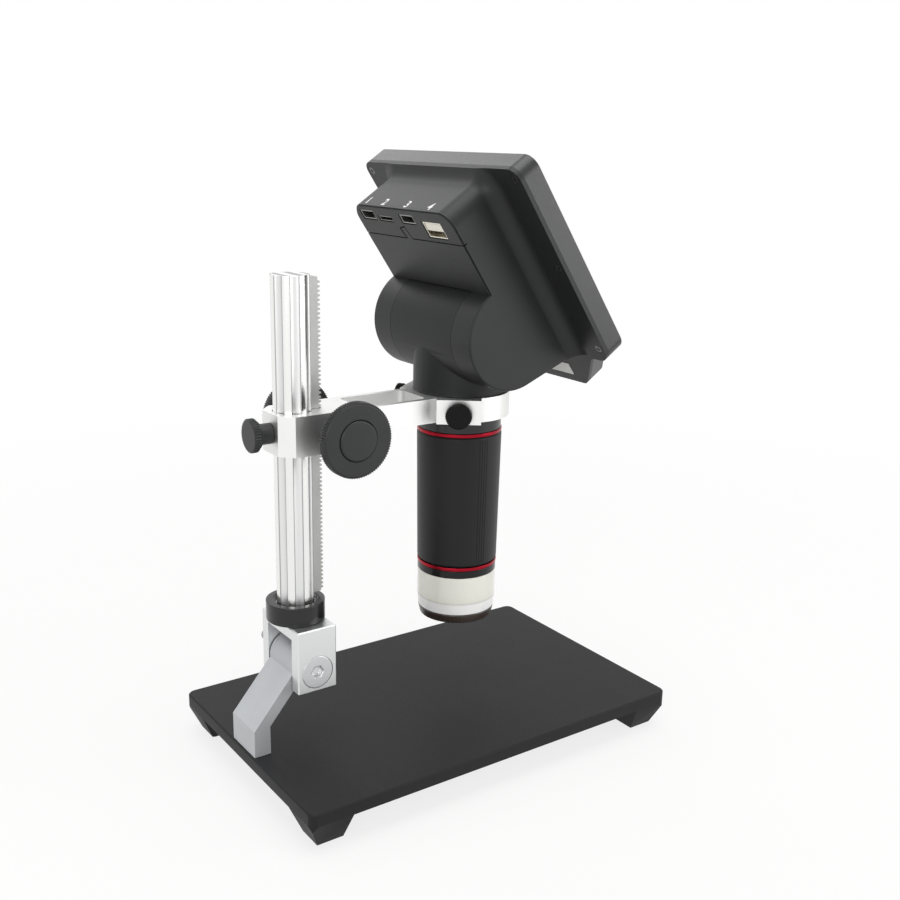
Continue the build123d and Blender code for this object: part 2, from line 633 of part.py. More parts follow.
def diffuser():
    inner = DIFFUSER_R - DIFFUSER_WALL
    cup = scope_rod(DIFFUSER_R, DIFFUSER_FOOT, DIFFUSER_TOP)
    cup -= scope_rod(TUBE_R, DIFFUSER_STEP, DIFFUSER_TOP + 1)
    return cup - scope_rod(inner - 2, DIFFUSER_FOOT - 1, DIFFUSER_STEP + 1)


def nose_ring():
    lip = DIFFUSER_R - DIFFUSER_WALL - 2
    ring = scope_rod(NOSE_R, NOSE_FOOT, DIFFUSER_FOOT) + scope_rod(lip, NOSE_FOOT, DIFFUSER_FOOT + 2)
    return ring - scope_rod(NOSE_BORE_R, NOSE_FOOT - 1, DIFFUSER_FOOT + 3)


def led_board():
    z = TUBE_FOOT
    return scope_tube_piece(TUBE_R - 0.2, LENS_CELL_R + GAP, z - BOARD_T, z)


def led_chips():
    z = TUBE_FOOT - BOARD_T
    chips = []
    for i in range(LED_COUNT):
        a = 2 * pi * (i + 0.5) / LED_COUNT
        x, y = SCOPE_X + LED_PITCH_R * cos(a), LED_PITCH_R * sin(a)
        chips.append(rod_z(LED_R, z - LED_H, z, x, y))
    return Compound(children=chips)


def lens_carrier():
    ring = scope_tube_piece(TUBE_BORE_R - GLIDE, LENS_CELL_R, LENS_CELL_TOP - CARRIER_H, LENS_CELL_TOP)
    pitch_r = (TUBE_BORE_R + LENS_CELL_R) / 2
    for i in range(3):
        a = 2 * pi * i / 3
        ring -= rod_z(CARRIER_HOLE_R, 0, COLUMN_TOP, SCOPE_X + pitch_r * cos(a), pitch_r * sin(a))
    return ring


def lens_cell():
    cell = scope_tube_piece(LENS_CELL_R, LENS_R - 0.8, LENS_CELL_FOOT, LENS_CELL_TOP)
    for z0, z1 in lens_seats():
        cell -= scope_rod(LENS_R, z0, z1)
    return cell


def lens_seats():
    """Bottom and top of the front and the rear element."""
    return [(LENS_CELL_FOOT + 0.8, LENS_CELL_FOOT + 4.3), (LENS_CELL_TOP - 4, LENS_CELL_TOP - 1)]


def lens_elements():
    return Compound(children=[scope_rod(LENS_R, z0, z1) for z0, z1 in lens_seats()])


def camera_screw_spots():
    r = (SEAT_BORE_R + TUBE_BORE_R) / 2 - 1.9
    return [(SCOPE_X + r * cos(2 * pi * i / 3), r * sin(2 * pi * i / 3)) for i in range(3)]


def camera_board():
    board = scope_rod(CAMERA_BOARD_R, SEAT_Z, SEAT_Z + BOARD_T)
    s = SENSOR_SIDE / 2
    sensor = block(SCOPE_X - s, SCOPE_X + s, -s, s, SEAT_Z - SENSOR_H, SEAT_Z)
    return Compound(children=[board, sensor])


def camera_ribbon():
    z0, z1 = SEAT_Z + BOARD_T, TILT_Z - AXLE_R - 2
    return block(SCOPE_X + 6, SCOPE_X + 6 + RIBBON_T, -RIBBON_W / 2, RIBBON_W / 2, z0, z1)


# ---------------------------------------------------------------- neck and tilt hinge
def neck_tee():
    tee = scope_rod(NECK_R, NECK_FOOT, TILT_Z) + rod_y(HINGE_R, -HINGE_HALF, HINGE_HALF, SCOPE_X, TILT_Z)
    room = HINGE_HALF - HINGE_WALL
    tee -= rod_y(HINGE_R - HINGE_WALL, -room, room, SCOPE_X, TILT_Z)
    tee -= scope_rod(SEAT_BORE_R + 1.6, NECK_FOOT - 1, TILT_Z)
    for s in (-1, 1):
        floor = CHEEK_INNER - TILT_WASHER_T - BEARING
        tee -= rod_y(TILT_WASHER_R + GAP, s * floor, s * (HINGE_HALF + 1), SCOPE_X, TILT_Z)
    return tee - rod_y(AXLE_R + RUN, -HINGE_HALF - 1, HINGE_HALF + 1, SCOPE_X, TILT_Z)


def tilt_axle():
    return rod_y(AXLE_R, -AXLE_HALF, AXLE_HALF, SCOPE_X, TILT_Z)


def tilt_washers():
    washers = []
    for s in (-1, 1):
        outer = s * CHEEK_INNER
        inner = s * (CHEEK_INNER - TILT_WASHER_T)
        disc = rod_y(TILT_WASHER_R, inner, outer, SCOPE_X, TILT_Z)
        washers.append(disc - rod_y(AXLE_R, inner - s, outer + s, SCOPE_X, TILT_Z))
    return Compound(children=washers)


# ---------------------------------------------------------------- head shells, in the head's own frame
def bezel_outline(inset=0.0):
    """The bezel with its chin, as a face over U and V."""
    half, top = BEZEL_HALF - inset, BEZEL_TOP - inset
    low, chin = BEZEL_BOTTOM + inset, CHIN_BOTTOM + inset
    upper_u, lower_u = CHIN_TOP_HALF - inset, CHIN_HALF - inset
    corners = [(half, top), (half, low), (upper_u, low), (lower_u, chin)]
    points = corners + [(-u, v) for u, v in reversed(corners)]
    r = BEZEL_CORNER_R - inset
    radii = [r, r, CHIN_R, CHIN_R, CHIN_R, CHIN_R, r, r]
    return make_face(FilletPolyline(*points, radius=radii, close=True))


def slab(face, n0, n1):
    return Pos(n0, 0, 0) * extrude(Plane.YZ * face, amount=n1 - n0)


def lower_wall(inset):
    """Where the cheeks' lower wall leaves their round, and its height at the bezel's back."""
    r = CHEEK_R - inset
    touch = radians(-90 - CHEEK_SLOPE)
    foot_n, foot_v = r * cos(touch), r * sin(touch)
    return foot_n, foot_v, foot_v - (PLATE_BACK + 1 - foot_n) * tan(radians(CHEEK_SLOPE))


def cheek_form(inset, u0, u1):
    """Port box and cheek in one side outline, drawn inwards by inset, between two U planes."""
    foot_n, foot_v, low = lower_wall(inset)
    back, top = BOX_BACK + inset, BOX_TOP - inset
    points = [(back, top), (PLATE_BACK + 1, top), (PLATE_BACK + 1, low), (foot_n, foot_v), (0, 0), (back, 0)]
    return side_prism(points, u0, u1) + rod_y(CHEEK_R - inset, u0, u1, 0, 0)


def box_outline(inset=0.0):
    """The port box seen from behind; its lower end is left long."""
    half, top = HEAD_HALF - inset, BOX_TOP - inset
    return Pos(0, top - BOX_LONG / 2) * RectangleRounded(2 * half, BOX_LONG, BOX_CORNER_R - inset)


def cove_ring():
    """Concave flare that joins the box's flanks, upper corners and top to the bezel's back."""
    axis_n, axis_u, axis_v = PLATE_BACK - COVE, HEAD_HALF + COVE, BOX_TOP + COVE
    corner_u, corner_v = HEAD_HALF - BOX_CORNER_R, BOX_TOP - BOX_CORNER_R
    ring = slab(box_outline(-COVE), axis_n, PLATE_BACK + 0.5)
    ring &= slab(bezel_outline(), axis_n - 1, PLATE_BACK + 1)
    ring -= rod_y(COVE, -corner_u, corner_u, axis_n, axis_v)
    for s in (-1, 1):
        ring -= rod_z(COVE, -BOX_LONG, corner_v, axis_n, s * axis_u)
        bend = Pos(axis_n, s * corner_u, corner_v) * Rot(0, 90, 0) * Torus(BOX_CORNER_R + COVE, COVE)
        reach = BOX_CORNER_R + 2 * COVE + 1
        bend &= block(0, BEZEL_FRONT, s * corner_u, s * (corner_u + reach), corner_v, corner_v + reach)
        ring -= bend
    return ring - under_cheeks()


def under_cheeks():
    """Everything below the cheeks' sloping lower wall."""
    foot_n, foot_v, low = lower_wall(0)
    outline = [(foot_n, foot_v), (PLATE_BACK + 1, low), (PLATE_BACK + 1, -BOX_LONG), (foot_n, -BOX_LONG)]
    return side_prism(outline, -BEZEL_HALF, BEZEL_HALF)


def neck_room(r):
    """Room of radius r between the cheeks, for the hinge's barrel and for the neck as the head tilts."""
    half = CHEEK_INNER + r - BARREL_ROOM_R
    room = rod_y(r, -half, half, 0, 0) + block(-BOX_LONG, r, -half, half, -BOX_LONG, 0)
    return room + block(-BOX_LONG, BOX_BACK + r - BARREL_ROOM_R, -half, half, -1, CHEEK_R + 1)


def shadow_line():
    """Small step round the edge of the box's back, above the cheeks' round."""
    step = slab(box_outline(-1), BOX_BACK - 1, BOX_BACK + STEP_D)
    step -= slab(box_outline(STEP_W), BOX_BACK - 2, BOX_BACK + STEP_D + 1)
    return step & block(BOX_BACK - 2, PLATE_BACK, -BOX_LONG, BOX_LONG, CHEEK_R, BOX_LONG)


def catch_tab(grow):
    """Leaning tab of the shell that reaches up into the port panel, grown by a seam's width."""
    tab = Box(2 * PANEL_T, TAB_W + 2 * grow, 2 * (TAB_H + grow))
    tab = Pos(BOX_BACK + PANEL_T, TAB_U, PARTING_V) * Rot(-TAB_LEAN, 0, 0) * tab
    return tab & block(BOX_BACK, BOX_BACK + PANEL_T, -HEAD_HALF, HEAD_HALF, PARTING_V - PANEL_T, BOX_TOP)


def rear_shell():
    body = cheek_form(0, -HEAD_HALF, HEAD_HALF)
    for rim in (body.faces().sort_by(Axis.Y)[-1], body.faces().sort_by(Axis.Y)[0]):
        body = fillet(rim.edges(), SHELL_EDGE)
    body &= slab(box_outline(), -BOX_LONG, BOX_LONG)
    body += slab(bezel_outline(), PLATE_BACK, FRAME_BACK)
    body += cove_ring()
    inner = HEAD_HALF - SHELL_T
    room = cheek_form(SHELL_T, -inner, inner) & slab(box_outline(SHELL_T), -BOX_LONG, BOX_LONG)
    room += slab(bezel_throat(), PLATE_BACK - 1, FRAME_BACK + 1)
    lid = neck_room(BARREL_ROOM_R + SHELL_T)
    body -= room - lid
    body -= neck_room(BARREL_ROOM_R)
    for s in (-1, 1):
        body += rod_y(2 * AXLE_R, s * CHEEK_INNER, s * (HEAD_HALF - 1), 0, 0)
        body -= rod_y(AXLE_R, s * (CHEEK_INNER - 1), s * AXLE_HALF, 0, 0)
    panel_end = BOX_BACK + PANEL_T
    body -= block(BOX_BACK - 1, panel_end, -HEAD_HALF - 1, HEAD_HALF + 1, PARTING_V, BOX_TOP + 1)
    half = inner - PANEL_LEDGE
    body -= block(BOX_BACK, panel_end + 1, -half, half, PARTING_V + PANEL_LEDGE, BOX_TOP - SHELL_T - PANEL_LEDGE)
    body -= shadow_line()
    body += catch_tab(0)
    for u, v in shell_screw_spots():
        body -= rod_x(SHELL_SCREW_R + RUN, PLATE_BACK - 1, FRAME_BACK + 1, u, v)
        body -= rod_x(SHELL_SCREW_HEAD_R + RUN, PLATE_BACK - 1, PLATE_BACK + 1.0, u, v)
    return body


def bezel_throat():
    """Opening in the bezel's back that leads into the port box."""
    inner = HEAD_HALF - SHELL_T - 1
    low, top = HINGE_R + 4, BOX_TOP - SHELL_T - 1
    return Pos(0, (low + top) / 2) * RectangleRounded(2 * inner, top - low, 3)


def port_panel():
    """Upper part of the box's back: a plate with the sockets' openings, a slit and room for the tab."""
    panel = slab(box_outline(), BOX_BACK, BOX_BACK + PANEL_T)
    panel &= block(0, PLATE_BACK, -HEAD_HALF, HEAD_HALF, PARTING_V + PANEL_SEAM, BOX_TOP)
    panel -= shadow_line() + catch_tab(PANEL_SEAM)
    for u, v, w, h, d in SOCKETS.values():
        panel -= block(0, PLATE_BACK, u - w / 2 - PANEL_FIT, u + w / 2 + PANEL_FIT, v - PANEL_FIT,
                       v + h + PANEL_FIT)
    slit = Rot(-TAB_LEAN, 0, 0) * Box(BOX_LONG, SLIT_W, SLIT_L)
    return panel - Pos(0, SLIT_U, PARTING_V + SLIT_RISE) * slit


def socket_shell(name, wall=0.6):
    """A metal socket: shell open to the back, with its contact tongue inside."""
    u, v, w, h, d = SOCKETS[name]
    n0 = BOX_BACK + PANEL_FIT
    n1 = n0 + d
    shell = block(n0, n1, u - w / 2, u + w / 2, v, v + h)
    shell -= block(n0 - 1, n1 - wall, u - w / 2 + wall, u + w / 2 - wall, v + wall, v + h - wall)
    return shell + block(n0 + TONGUE_IN, n1 - wall, u - w / 4, u + w / 4, v + h * 0.4, v + h * 0.6)


def port_board():
    n0, n1 = BOX_BACK + SHELL_T + PANEL_FIT, PLATE_BACK - BOARD_AWAY
    board = block(n0, n1, -PORT_BOARD_HALF, PORT_BOARD_HALF, PORT_BOARD_V - BOARD_T, PORT_BOARD_V)
    u, v, w, h, d = SOCKETS["wide"]
    return board - block(n0 - 1, BOX_BACK + d + 1, u - w / 2 - PANEL_FIT, u + w / 2 + PANEL_FIT, v, v + h)


def main_board():
    n0 = PLATE_BACK - BOARD_AWAY
    low = HINGE_R + MAIN_BOARD_RISE
    return block(n0, n0 + BOARD_T, -PORT_BOARD_HALF, PORT_BOARD_HALF, low, PORT_BOARD_V)


def shell_screw_spots():
    return [(s * SHELL_SCREW_U, v) for v in SHELL_SCREW_V for s in (-1, 1)]


def shell_screws():
    screws = []
    for u, v in shell_screw_spots():
        n = PLATE_BACK + 0.2
        screw = rod_x(SHELL_SCREW_R, n, FRAME_BACK + 5, u, v) + rod_x(SHELL_SCREW_HEAD_R, n, n + 0.8, u, v)
        cross = block(n - 1, n + 0.4, u - 1.1, u + 1.1, v - 0.25, v + 0.25)
        cross += block(n - 1, n + 0.4, u - 0.25, u + 0.25, v - 1.1, v + 1.1)
        screws.append(tilted(screw - cross))
    return Compound(children=screws)


def front_frame():
    frame = slab(bezel_outline(), FRAME_BACK, BEZEL_FRONT)
    frame = fillet(frame.faces().sort_by(Axis.X)[-1].edges(), 0.9)
    frame -= slab(bezel_outline(SHELL_T), FRAME_BACK - 1, BEZEL_FRONT - FRONT_T)
    for u, v in shell_screw_spots():
        post = rod_x(SHELL_SCREW_R + 1, FRAME_BACK, BEZEL_FRONT - FRONT_T + 0.2, u, v)
        frame += post
        frame -= rod_x(SHELL_SCREW_R, FRAME_BACK - 1, FRAME_BACK + 5, u, v)
    view = Pos(0, SCREEN_V) * Rectangle(VIEW_W, VIEW_H)
    glass = Pos(0, SCREEN_V) * RectangleRounded(VIEW_W + 2 * GLASS_LAP, VIEW_H + 2 * GLASS_LAP, 1.5)
    frame -= slab(view, BEZEL_FRONT - FRONT_T - 1, BEZEL_FRONT + 1)
    frame -= slab(glass, BEZEL_FRONT - GLASS_T - 0.1, BEZEL_FRONT + 1)
    for u in button_spots():
        frame -= rod_x(BUTTON_R + GLIDE, BEZEL_FRONT - FRONT_T - 1, BEZEL_FRONT + 1, u, BUTTON_V)
    return frame


def screen_glass():
    w, h = VIEW_W + 2 * GLASS_LAP - 0.2, VIEW_H + 2 * GLASS_LAP - 0.2
    face = Pos(0, SCREEN_V) * RectangleRounded(w, h, 1.4)
    return slab(face, BEZEL_FRONT - GLASS_T - 0.1, BEZEL_FRONT - 0.1)


def lcd_panel():
    n1 = BEZEL_FRONT - FRONT_T
    v0, v1 = SCREEN_V - LCD_H / 2, SCREEN_V + LCD_H / 2
    return block(n1 - LCD_T, n1, -LCD_W / 2, LCD_W / 2, v0, v1)


# ---------------------------------------------------------------- front buttons
def button_spots():
    return [BUTTON_PITCH * (i - (BUTTON_COUNT - 1) / 2) for i in range(BUTTON_COUNT)]


FLANGE_T = 1.0
FLANGE_FRONT = BEZEL_FRONT - FRONT_T - BEARING
KEY_BOARD_FRONT = FRAME_BACK + 2.4


def button(u):
    flange = rod_x(BUTTON_R + 0.9, FLANGE_FRONT - FLANGE_T, FLANGE_FRONT, u, BUTTON_V)
    cap = rod_x(BUTTON_R, FLANGE_FRONT - FLANGE_T, BEZEL_FRONT + BUTTON_PROUD, u, BUTTON_V)
    cap = fillet(cap.faces().sort_by(Axis.X)[-1].edges(), 0.4)
    return cap + flange


def key_board():
    """Board with one small switch behind each button; a gap of the travel and a little more is left."""
    half = BUTTON_PITCH * (BUTTON_COUNT - 1) / 2 + 7
    pieces = [block(KEY_BOARD_FRONT - BOARD_T, KEY_BOARD_FRONT, -half, half, BUTTON_V - 7, BUTTON_V + 7)]
    top = FLANGE_FRONT - FLANGE_T - BUTTON_TRAVEL - BEARING
    for u in button_spots():
        pieces.append(block(KEY_BOARD_FRONT, top, u - 2.6, u + 2.6, BUTTON_V - 2.6, BUTTON_V + 2.6))
    return Compound(children=[tilted(p) for p in pieces])


def rear_label():
    return block(PLATE_BACK - LABEL_T, PLATE_BACK, -LABEL_HALF, LABEL_HALF, LABEL_BOTTOM, LABEL_TOP)


# ---------------------------------------------------------------- write one STEP file per sub-part
os.makedirs("parts", exist_ok=True)

save("base_tray", base_tray())
save("foot_pads", foot_pads())
save("bracket_arm", bracket_arm())
save("bracket_screws", bracket_screws())

save("knuckle_block", knuckle_block())
save("pivot_bolt", pivot_bolt())
save("pivot_nut", pivot_nut())
save("pivot_washers", pivot_washers())
save("knuckle_set_screw", knuckle_set_screw())
save("column", column())
save("column_screw", column_screw())
save("rack", rack())
save("collar_nut", collar_nut())

save("carriage_arm", carriage_arm())
save("pinion_bushes", pinion_bushes())
save("pinion_shaft", pinion_shaft())
save("focus_knob_right", focus_knob(-1))
save("focus_knob_left", focus_knob(1))
save("knob_caps", knob_caps())
save("lock_screw", lock_screw())
save("ring_screw_right", ring_screw(-1))
save("ring_screw_left", ring_screw(1))

save("scope_tube", scope_tube())
save("upper_trim_ring", trim_ring(UPPER_TRIM_Z, SLEEVE_TOP_R))
save("lower_trim_ring", trim_ring(LOWER_TRIM_Z, SLEEVE_FOOT_R))
save("focus_sleeve", focus_sleeve())
save("lower_band", lower_band())
save("diffuser", diffuser())
save("nose_ring", nose_ring())
save("led_board", led_board())
save("led_chips", led_chips())
save("lens_carrier", lens_carrier())
save("lens_cell", lens_cell())
save("lens_elements", lens_elements())
save("camera_board", camera_board())
save("camera_ribbon", camera_ribbon())

save("neck_tee", neck_tee())
save("tilt_axle", tilt_axle())
save("tilt_washers", tilt_washers())

save("rear_shell", tilted(rear_shell()))
save("port_panel", tilted(port_panel()))
save("left_port", tilted(socket_shell("left")))
save("card_slot", tilted(socket_shell("card", 0.4)))
save("middle_port", tilted(socket_shell("middle")))
save("wide_port", tilted(socket_shell("wide")))
save("port_board", tilted(port_board()))
save("main_board", tilted(main_board()))
save("front_frame", tilted(front_frame()))
save("lcd_panel", tilted(lcd_panel()))
save("screen_glass", tilted(screen_glass()))
save("key_board", key_board())
save("shell_screws", shell_screws())
save("rear_label", tilted(rear_label()))
for number, spot in enumerate(button_spots(), 1):
    save(f"button_{number}", tilted(button(spot)))
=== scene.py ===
import json
from math import atan2, cos, pi, radians, sin, tau

import bmesh
import bpy
from mathutils import Matrix, Vector


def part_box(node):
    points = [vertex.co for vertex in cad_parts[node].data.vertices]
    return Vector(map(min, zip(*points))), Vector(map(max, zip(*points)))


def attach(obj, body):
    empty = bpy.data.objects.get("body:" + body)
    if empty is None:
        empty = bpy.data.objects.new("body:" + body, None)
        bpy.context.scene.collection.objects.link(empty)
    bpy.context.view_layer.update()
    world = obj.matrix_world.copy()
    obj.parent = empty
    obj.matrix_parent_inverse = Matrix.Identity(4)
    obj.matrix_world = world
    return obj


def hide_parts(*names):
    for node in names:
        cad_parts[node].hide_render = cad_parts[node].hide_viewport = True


# LCD digital microscope: a screen head on a camera tube, held by a rack-and-pinion stand.
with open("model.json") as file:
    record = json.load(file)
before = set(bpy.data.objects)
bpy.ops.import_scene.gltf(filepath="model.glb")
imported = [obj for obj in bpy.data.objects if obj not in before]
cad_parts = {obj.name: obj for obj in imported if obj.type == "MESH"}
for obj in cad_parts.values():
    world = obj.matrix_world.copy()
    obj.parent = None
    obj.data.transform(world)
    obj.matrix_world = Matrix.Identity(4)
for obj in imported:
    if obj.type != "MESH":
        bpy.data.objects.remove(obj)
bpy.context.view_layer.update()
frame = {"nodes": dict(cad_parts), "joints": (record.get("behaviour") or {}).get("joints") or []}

MM = 0.001
NODES = frame["nodes"]
JOINTS = {joint["name"]: joint for joint in frame["joints"]}


# ---------------------------------------------------------------- adding nodes
def put(tree, kind, inputs=None, **settings):
    """Add one node, set its properties, and set or link its inputs by name or number.

    A node that is given as an input stands for its first output.
    """
    node = tree.nodes.new(kind)
    for name, value in settings.items():
        setattr(node, name, value)
    for key, value in (inputs or {}).items():
        if isinstance(value, bpy.types.Node):
            value = value.outputs[0]
        if isinstance(value, bpy.types.NodeSocket):
            tree.links.new(value, node.inputs[key])
        else:
            node.inputs[key].default_value = value
    return node


def linear(colour):
    """An sRGB hex colour as the linear colour that a shader takes."""
    parts = [int(colour[i : i + 2], 16) / 255 for i in (1, 3, 5)]
    return tuple(c / 12.92 if c <= 0.04045 else ((c + 0.055) / 1.055) ** 2.4 for c in parts) + (1.0,)


# ---------------------------------------------------------------- finishes
FINISH = {}


def finish(slot, name, **inputs):
    """Start the finish of one material slot: its shader, and the piece's own coordinates in metres."""
    material = bpy.data.materials.new(name)
    material.use_nodes = True
    tree = material.node_tree
    tree.nodes.clear()
    values = {key.replace("_", " "): value for key, value in inputs.items()}
    shader = put(tree, "ShaderNodeBsdfPrincipled", values)
    put(tree, "ShaderNodeOutputMaterial", {"Surface": shader.outputs["BSDF"]})
    place = put(tree, "ShaderNodeTexCoord").outputs["Object"]
    FINISH[slot] = material
    return tree, shader, place


# How long the drift of a tint and a tool mark run, in mm.
CLOUD_SIZE = 14
STROKE_LENGTH = 40


def pressed(tree, shader, pattern, depth, rough):
    """Press a pattern in by a depth in mm and let the roughness follow it; returns the roughness."""
    bump = put(tree, "ShaderNodeBump", {"Height": pattern, "Distance": depth * MM})
    spread = put(tree, "ShaderNodeMapRange", {"Value": pattern, "From Min": 0.3, "From Max": 0.7,
                                              "To Min": rough[0], "To Max": rough[1]})
    tree.links.new(bump.outputs["Normal"], shader.inputs["Normal"])
    tree.links.new(spread.outputs["Result"], shader.inputs["Roughness"])
    return spread


def grain(tree, shader, place, size, depth, rough, tint=None):
    """Fine random grain of a real size and depth in mm; a tint drifts between its two colours."""
    cells = put(tree, "ShaderNodeTexNoise", {"Vector": place, "Scale": 1 / (size * MM), "Detail": 3.0})
    pressed(tree, shader, cells, depth, rough)
    if tint:
        clouds = put(tree, "ShaderNodeTexNoise",
                     {"Vector": place, "Scale": 1 / (CLOUD_SIZE * MM), "Detail": 4.0})
        blend = put(tree, "ShaderNodeMix",
                    {0: clouds, 6: linear(tint[0]), 7: linear(tint[1])}, data_type="RGBA")
        tree.links.new(blend.outputs[2], shader.inputs["Base Color"])


def strokes(tree, shader, place, along, spacing, depth, rough):
    """Parallel tool marks that run along one axis, spaced in mm; returns the roughness."""
    stretch = [1 / (spacing * MM)] * 3
    stretch["XYZ".index(along)] = 1 / (STROKE_LENGTH * MM)
    lines = put(tree, "ShaderNodeMapping", {"Vector": place, "Scale": stretch})
    marks = put(tree, "ShaderNodeTexNoise", {"Vector": lines, "Scale": 1.0, "Detail": 2.0})
    return pressed(tree, shader, marks, depth, rough)


def banded(tree, shader, factor, first, last, *between):
    """Colour a surface along a factor, from the first at 0 to the last at 1, by (place, colour) stops."""
    bands = put(tree, "ShaderNodeValToRGB", {"Fac": factor})
    bands.color_ramp.elements[0].color = linear(first)
    bands.color_ramp.elements[1].color = linear(last)
    for at, colour in between:
        bands.color_ramp.elements.new(at).color = linear(colour)
    tree.links.new(bands.outputs["Color"], shader.inputs["Base Color"])


# Blasting, anodising and spark erosion leave a grain of a few hundredths of a millimetre, too fine to show
# here. It is drawn at 0.35 to 0.8 mm, as coarse as it needs to be to show.

# Powder-coated steel sheet: satin near-black with a fine orange peel that blurs every highlight.
coat = finish("tray_black", "powder_coated_steel", Specular_IOR_Level=0.22)
grain(*coat, size=0.45, depth=0.02, rough=(0.48, 0.6), tint=("#18181a", "#1f1f20"))

# Moulded rubber pads: dull black with a coarse, faintly dusty grain.
pad = finish("pad_rubber", "moulded_rubber")
grain(*pad, size=0.6, depth=0.04, rough=(0.75, 0.9), tint=("#1f1f1f", "#2a2a29"))

# Bead-blasted aluminium: even, slightly sparkling grey without any direction.
blasted = finish("bracket_silver", "bead_blasted_aluminium", Metallic=1.0)
grain(*blasted, size=0.35, depth=0.01, rough=(0.56, 0.68), tint=("#b6b8bb", "#c4c6c8"))

# Milled aluminium block: bright satin faces with faint cutter lines across them.
milled = finish("block_silver", "milled_aluminium", Metallic=1.0, Base_Color=linear("#e0e1e1"))
strokes(*milled, along="X", spacing=0.35, depth=0.004, rough=(0.32, 0.42))

# Turned aluminium disc: the same metal, a little duller so that its outline reads.
disc = finish("pivot_silver", "turned_aluminium", Metallic=1.0, Base_Color=linear("#d4d5d6"))
grain(*disc, size=0.3, depth=0.006, rough=(0.3, 0.4))

# Zinc-plated steel screws: pale grey with a soft gloss.
zinc = finish("screw_steel", "zinc_plated_steel", Metallic=1.0)
grain(*zinc, size=0.5, depth=0.006, rough=(0.28, 0.42), tint=("#9c9d9f", "#b4b5b6"))

# Drawn aluminium column: the lands between its flutes are polished bright. The flutes keep the rougher, dull
# skin of the draw, and hairline marks run up its length.
# Its flutes are coloured as painted shade: dark grey along each edge, paling towards the floor.
drawn = finish("column_alu", "polished_drawn_aluminium", Metallic=1.0)
polish = strokes(*drawn, along="Z", spacing=0.3, depth=0.002, rough=(0.18, 0.26))
tree, shader, _ = drawn
deep = put(tree, "ShaderNodeAttribute", attribute_name="flute").outputs["Fac"]
banded(tree, shader, deep, "#efefed", "#e2e3e2", (0.01, "#8f9090"), (0.24, "#a4a5a5"), (0.42, "#dcdddc"))
matt = put(tree, "ShaderNodeMapRange", {"Value": deep, "From Min": 0.0, "From Max": 0.1,
                                        "To Min": 0.0, "To Max": 0.2})
dull = put(tree, "ShaderNodeMath", {0: polish, 1: matt}, operation="ADD")
tree.links.new(dull.outputs[0], shader.inputs["Roughness"])

# Milled steel rack: greyer and duller than the column.
rack_steel = finish("rack_steel", "milled_steel", Metallic=1.0)
grain(*rack_steel, size=0.5, depth=0.02, rough=(0.34, 0.5), tint=("#9c9c9a", "#b4b4b2"))

# Black anodised collar, polished before it was dyed: deep black with sharp highlights.
collar_black = finish("collar_black", "polished_black_anodised_aluminium")
grain(*collar_black, size=0.8, depth=0.003, rough=(0.16, 0.24), tint=("#0b0b0c", "#101011"))

# Clear-anodised aluminium arm: soft bright faces; the etched surface glitters finely where light grazes it.
anodised = finish("arm_alu", "satin_anodised_aluminium", Metallic=1.0)
grain(*anodised, size=0.4, depth=0.003, rough=(0.36, 0.46), tint=("#e4e5e4", "#eeeeec"))

# Turned brass bushes: warm yellow with a soft sheen.
brass = finish("bush_brass", "turned_brass", Metallic=1.0)
grain(*brass, size=0.3, depth=0.005, rough=(0.25, 0.38), tint=("#b98f45", "#c9a155"))

# Ground steel shaft: grey, with fine grinding marks along it.
ground = finish("shaft_steel", "ground_steel", Metallic=1.0, Base_Color=linear("#b0b0b2"))
strokes(*ground, along="Y", spacing=0.2, depth=0.003, rough=(0.18, 0.3))

# Moulded phenolic, on the knobs and the column's lock screw: dark grey satin, slightly cloudy.
phenolic = finish("knob_black", "moulded_phenolic", Specular_IOR_Level=0.4)
grain(*phenolic, size=0.4, depth=0.008, rough=(0.36, 0.48), tint=("#1f2020", "#282929"))

# Black oxide on knurled steel: blue-black with a low oily gloss.
oxide = finish("thumb_black", "black_oxide_steel", Specular_IOR_Level=0.14)
grain(*oxide, size=0.35, depth=0.01, rough=(0.22, 0.34), tint=("#0a0a0b", "#101011"))

# Black anodised tube, satin.
tube = finish("tube_black", "satin_black_anodised_aluminium")
grain(*tube, size=0.4, depth=0.005, rough=(0.2, 0.3), tint=("#101011", "#161617"))

# Red anodised aluminium rings: a saturated dye over bright metal, so highlights stay pink and tight.
red = finish("trim_red", "red_anodised_aluminium", Metallic=1.0)
grain(*red, size=0.5, depth=0.003, rough=(0.24, 0.34), tint=("#8e1826", "#a01e2c"))

# Soft-touch rubber over the focusing sleeve: velvety black without any sharp highlight.
soft = finish("sleeve_rubber", "soft_touch_rubber", Sheen_Weight=0.05, Sheen_Roughness=0.5,
              Specular_IOR_Level=0.25)
grain(*soft, size=0.3, depth=0.012, rough=(0.42, 0.55), tint=("#161617", "#1c1c1d"))

# Gloss black ABS band, injection moulded in a polished tool.
gloss = finish("band_black", "polished_moulded_abs", Specular_IOR_Level=0.3)
grain(*gloss, size=1.2, depth=0.004, rough=(0.14, 0.22), tint=("#0c0c0d", "#121213"))
